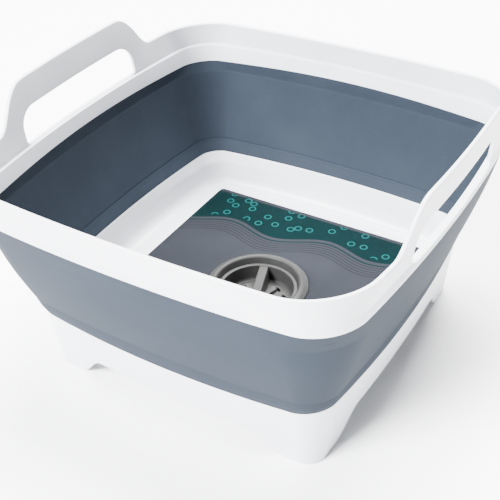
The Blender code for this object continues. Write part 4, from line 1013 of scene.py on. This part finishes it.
def printed_card():
    """Coated paperboard printed in three inks: grey ground, a teal wave band with rings, and ripples.

    The band lies between the wave Y = 70 mm + X / 10 + 6.2 mm x sin(2 pi X / 88 mm) and a straight margin at
    the back. A teal stroke follows the wave 4.2 mm under it, and then five fine dark ripples 3 mm apart.
    Rings are the places at one distance from scattered points, some 16 mm apart. The board's fibres are
    1.4 mm across.
    """
    wave_length, wave_height, slant, wave_y = 0.088, 0.0062, 0.10, 0.0700
    stroke_drop, ripple_pitch, ripples_drop, ripples_half = 0.0042, 0.003, 0.0135, 0.0075
    margin_y, ring_reach = 0.1018, 0.17
    made, tree, place = start_material(
        "coated_card_printed", {"IOR": 1.5, "Metallic": 0.0, "Specular IOR Level": 0.03}
    )
    fade = {"To Min": 1.0, "To Max": 0.0}

    axis = add(tree, "ShaderNodeSeparateXYZ", [place]).outputs
    phase = add(tree, "ShaderNodeMath", (axis["X"], 2 * math.pi / wave_length), operation="MULTIPLY")
    swing = add(tree, "ShaderNodeMath", (phase.outputs[0],), operation="SINE")
    drift = add(tree, "ShaderNodeMath", (axis["X"], slant, wave_y), operation="MULTIPLY_ADD")
    inputs = (swing.outputs[0], wave_height, drift.outputs[0])
    edge = add(tree, "ShaderNodeMath", inputs, operation="MULTIPLY_ADD")
    above = add(tree, "ShaderNodeMath", (axis["Y"], edge.outputs[0]), operation="SUBTRACT").outputs[0]
    over_edge = add(tree, "ShaderNodeMapRange", {"Value": above, "From Min": -0.00015, "From Max": 0.00015})
    inputs = {"Value": axis["Y"], "From Min": margin_y, "From Max": margin_y + 0.0003, **fade}
    margin = add(tree, "ShaderNodeMapRange", inputs).outputs["Result"]
    band = add(tree, "ShaderNodeMath", (over_edge.outputs["Result"], margin), operation="MULTIPLY").outputs[0]

    apart = add(tree, "ShaderNodeMath", (above, stroke_drop), operation="ADD")
    line = add(tree, "ShaderNodeMath", (apart.outputs[0],), operation="ABSOLUTE").outputs[0]
    inputs = {"Value": line, "From Min": 0.0006, "From Max": 0.0009, **fade}
    stroke = add(tree, "ShaderNodeMapRange", inputs).outputs["Result"]

    pitch = add(tree, "ShaderNodeMath", (above, ripple_pitch), operation="DIVIDE")
    wrapped = add(tree, "ShaderNodeMath", (pitch.outputs[0],), operation="FRACT")
    off_line = add(tree, "ShaderNodeMath", (wrapped.outputs[0], 0.5), operation="SUBTRACT")
    to_ripple = add(tree, "ShaderNodeMath", (off_line.outputs[0],), operation="ABSOLUTE").outputs[0]
    inputs = {"Value": to_ripple, "From Min": 0.07, "From Max": 0.11, **fade}
    ripple = add(tree, "ShaderNodeMapRange", inputs).outputs["Result"]
    from_middle = add(tree, "ShaderNodeMath", (above, ripples_drop), operation="ADD")
    in_field = add(tree, "ShaderNodeMath", (from_middle.outputs[0],), operation="ABSOLUTE").outputs[0]
    field = add(tree, "ShaderNodeMath", (in_field, ripples_half), operation="LESS_THAN").outputs[0]
    ripples = add(tree, "ShaderNodeMath", (ripple, field), operation="MULTIPLY").outputs[0]

    inputs = {"Vector": place, "Scale": 62, "Randomness": 0.9}
    cells = add(tree, "ShaderNodeTexVoronoi", inputs, voronoi_dimensions="2D")
    away = add(tree, "ShaderNodeMath", (cells.outputs["Distance"], -ring_reach), operation="ADD")
    ring_width = add(tree, "ShaderNodeMath", (away.outputs[0],), operation="ABSOLUTE").outputs[0]
    inputs = {"Value": ring_width, "From Min": 0.025, "From Max": 0.045, **fade}
    bubble = add(tree, "ShaderNodeMapRange", inputs).outputs["Result"]
    inputs = {"Value": above, "From Min": 0.0040, "From Max": 0.0044}
    area = add(tree, "ShaderNodeMapRange", inputs).outputs["Result"]
    whole = add(tree, "ShaderNodeMath", (bubble, area), operation="MULTIPLY")
    bubbles = add(tree, "ShaderNodeMath", (whole.outputs[0], margin), operation="MULTIPLY").outputs[0]

    cast = add(tree, "ShaderNodeTexNoise", {"Vector": place, "Scale": 14, "Detail": 2}).outputs["Fac"]
    ground = add(tree, "ShaderNodeValToRGB", [cast], [(0.35, "1E2024"), (0.65, "222429")]).outputs["Color"]
    teal = add(tree, "ShaderNodeValToRGB", [cast], [(0.35, "001112"), (0.65, "001516")]).outputs["Color"]
    inked = add(tree, "ShaderNodeMath", (band, stroke), operation="MAXIMUM").outputs[0]
    inputs = {"Factor": ripples, "A": ground, "B": colour("090A0C")}
    lined = add(tree, "ShaderNodeMix", inputs, data_type="RGBA").outputs["Result"]
    inputs = {"Factor": inked, "A": lined, "B": teal}
    printed = add(tree, "ShaderNodeMix", inputs, data_type="RGBA").outputs["Result"]
    inputs = {"Factor": bubbles, "A": printed, "B": colour("06403F")}
    ringed = add(tree, "ShaderNodeMix", inputs, data_type="RGBA").outputs["Result"]

    fibre = add(tree, "ShaderNodeTexNoise", {"Vector": place, "Scale": 700, "Detail": 3}).outputs["Fac"]
    spread = add(tree, "ShaderNodeMapRange", {"Value": fibre, "To Min": 0.55, "To Max": 0.65})
    bump = add(tree, "ShaderNodeBump", {"Strength": 0.12, "Distance": 0.00004, "Height": fibre})
    return finish_material(made, ringed, spread.outputs["Result"], bump.outputs["Normal"])


def black_seal_rubber():
    """Moulded nitrile rubber: near black and matt, with a fine skin whose grain is 0.8 mm."""
    made, tree, place = start_material("nitrile_rubber_black", {"IOR": 1.52, "Metallic": 0.0})
    skin = add(tree, "ShaderNodeTexNoise", {"Vector": place, "Scale": 1200, "Detail": 3}).outputs["Fac"]
    tone = add(tree, "ShaderNodeValToRGB", [skin], [(0.3, "161719"), (0.7, "222326")])
    spread = add(tree, "ShaderNodeMapRange", {"Value": skin, "To Min": 0.6, "To Max": 0.75})
    bump = add(tree, "ShaderNodeBump", {"Strength": 0.2, "Distance": 0.00005, "Height": skin})
    return finish_material(made, tone.outputs["Color"], spread.outputs["Result"], bump.outputs["Normal"])


def turned_stainless_steel():
    """Stainless steel turned on a lathe: fine rings about the axis, some 0.2 mm apart."""
    made, tree, place = start_material("stainless_steel_turned", {"Metallic": 1.0})
    pattern = {"wave_type": "RINGS", "rings_direction": "Z"}
    inputs = {"Vector": place, "Scale": 800, "Distortion": 0.6, "Detail": 2}
    rings = add(tree, "ShaderNodeTexWave", inputs, **pattern).outputs["Fac"]
    tone = add(tree, "ShaderNodeValToRGB", [rings], [(0.2, "A9ABAD"), (0.8, "BEC0C2")])
    spread = add(tree, "ShaderNodeMapRange", {"Value": rings, "To Min": 0.24, "To Max": 0.36})
    return finish_material(made, tone.outputs["Color"], spread.outputs["Result"])


WHITE = moulded_polypropylene("polypropylene_white", "D6D8DC", "D1D3D8", 0.36, 0.0007)
# The drain's plastic is light grey. These much darker tones are painted shade: they stand in for the shade
# the drain lies in at the bottom of the bowl. The same painted shade colours the drain collar, locknut, plug
# and strainer plate.
DRAIN_PAINTED_SHADE_GREY = moulded_polypropylene("polypropylene_drain_painted_shade", "323231", "2D2D2C", 0.42, 0.0006, 0.18)
WALL_GREY = soft_rubber("thermoplastic_rubber_grey", "272D35", "232931", 0.64)
CARD = printed_card()
SEAL = black_seal_rubber()
STEEL = turned_stainless_steel()

make_base(WHITE)
make_wall(WALL_GREY)
make_rim(WHITE)
make_card(CARD)
make_drain(DRAIN_PAINTED_SHADE_GREY)
make_locknut(DRAIN_PAINTED_SHADE_GREY)
make_plug(DRAIN_PAINTED_SHADE_GREY)

# CAD nodes that are shown as they are, in a better material
kept_surfaces = {
    "strainer_plate": DRAIN_PAINTED_SHADE_GREY,
    "drain_gasket": SEAL,
    "plug_face_seal": SEAL,
    "plug_o_ring": SEAL,
    "pivot_screw": STEEL,
    "pivot_washer": STEEL,
}
for node_name, surface in kept_surfaces.items():
    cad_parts[node_name].material_slots[0].material = surface

# Stage


def make_floor():
    """A wide plain floor under the basin."""
    made, tree, place = start_material("studio_floor_white", {"Roughness": 0.9, "Specular IOR Level": 0.1})
    haze = add(tree, "ShaderNodeTexNoise", {"Vector": place, "Scale": 2, "Detail": 2})
    tone = add(tree, "ShaderNodeValToRGB", [haze.outputs["Fac"]], [(0.3, "FDFDFD"), (0.7, "FFFFFF")])
    finish_material(made, tone.outputs["Color"])
    mesh = bpy.data.meshes.new("studio_floor")
    reach = 6.0
    corners = [(-reach, -reach, 0), (reach, -reach, 0), (reach, reach, 0), (-reach, reach, 0)]
    mesh.from_pydata(corners, [], [(0, 1, 2, 3)])
    mesh.materials.append(made)
    floor = bpy.data.objects.new("studio_floor", mesh)
    bpy.context.scene.collection.objects.link(floor)


def add_softbox(name, place, aim, size, power, tint):
    """A square area light turned to face a point."""
    lamp = bpy.data.lights.new(name, "AREA")
    lamp.size = size
    lamp.energy = power
    lamp.color = tint
    light = bpy.data.objects.new(name, lamp)
    light.location = place
    light.rotation_euler = (Vector(aim) - Vector(place)).to_track_quat("-Z", "Y").to_euler()
    bpy.context.scene.collection.objects.link(light)


def make_world(tone, strength):
    """Even light from all round."""
    world = bpy.data.worlds.new("studio_light")
    world.use_nodes = True
    background = world.node_tree.nodes["Background"]
    background.inputs["Color"].default_value = colour(tone)
    background.inputs["Strength"].default_value = strength
    bpy.context.scene.world = world


def make_camera():
    """The photograph's view: azimuth 33.51, elevation 36.71 and roll -3.22 degrees, with a 69.9 mm lens."""
    azimuth, elevation, roll = (math.radians(value) for value in (33.51, 36.71, -3.22))
    level = Vector((math.sin(azimuth), -math.cos(azimuth), 0))
    back = level * math.cos(elevation) + Vector((0, 0, math.sin(elevation)))
    right = Vector((math.cos(azimuth), math.sin(azimuth), 0))
    up = back.cross(right)
    turned_right = right * math.cos(roll) + up * math.sin(roll)
    turned_up = up * math.cos(roll) - right * math.sin(roll)
    lens = bpy.data.cameras.new("camera")
    lens.lens = 69.9
    lens.sensor_width = 36
    lens.clip_start = 0.01
    camera = bpy.data.objects.new("camera", lens)
    matrix = Matrix((turned_right, turned_up, back)).transposed().to_4x4()
    matrix.translation = Vector((0.3248, -0.4975, 0.5127))
    camera.matrix_world = matrix
    bpy.context.scene.collection.objects.link(camera)
    bpy.context.scene.camera = camera


make_floor()
make_world("F7F9FF", 0.25)
add_softbox("key_front_left", (-1.15, -3.0, 2.7), (0, 0, 0.08), 1.7, 1330, (0.965, 0.98, 1.0))
add_softbox("top_behind", (-0.2, 1.0, 2.4), (0, 0, 0), 1.6, 520, (1.0, 1.0, 1.0))
make_camera()
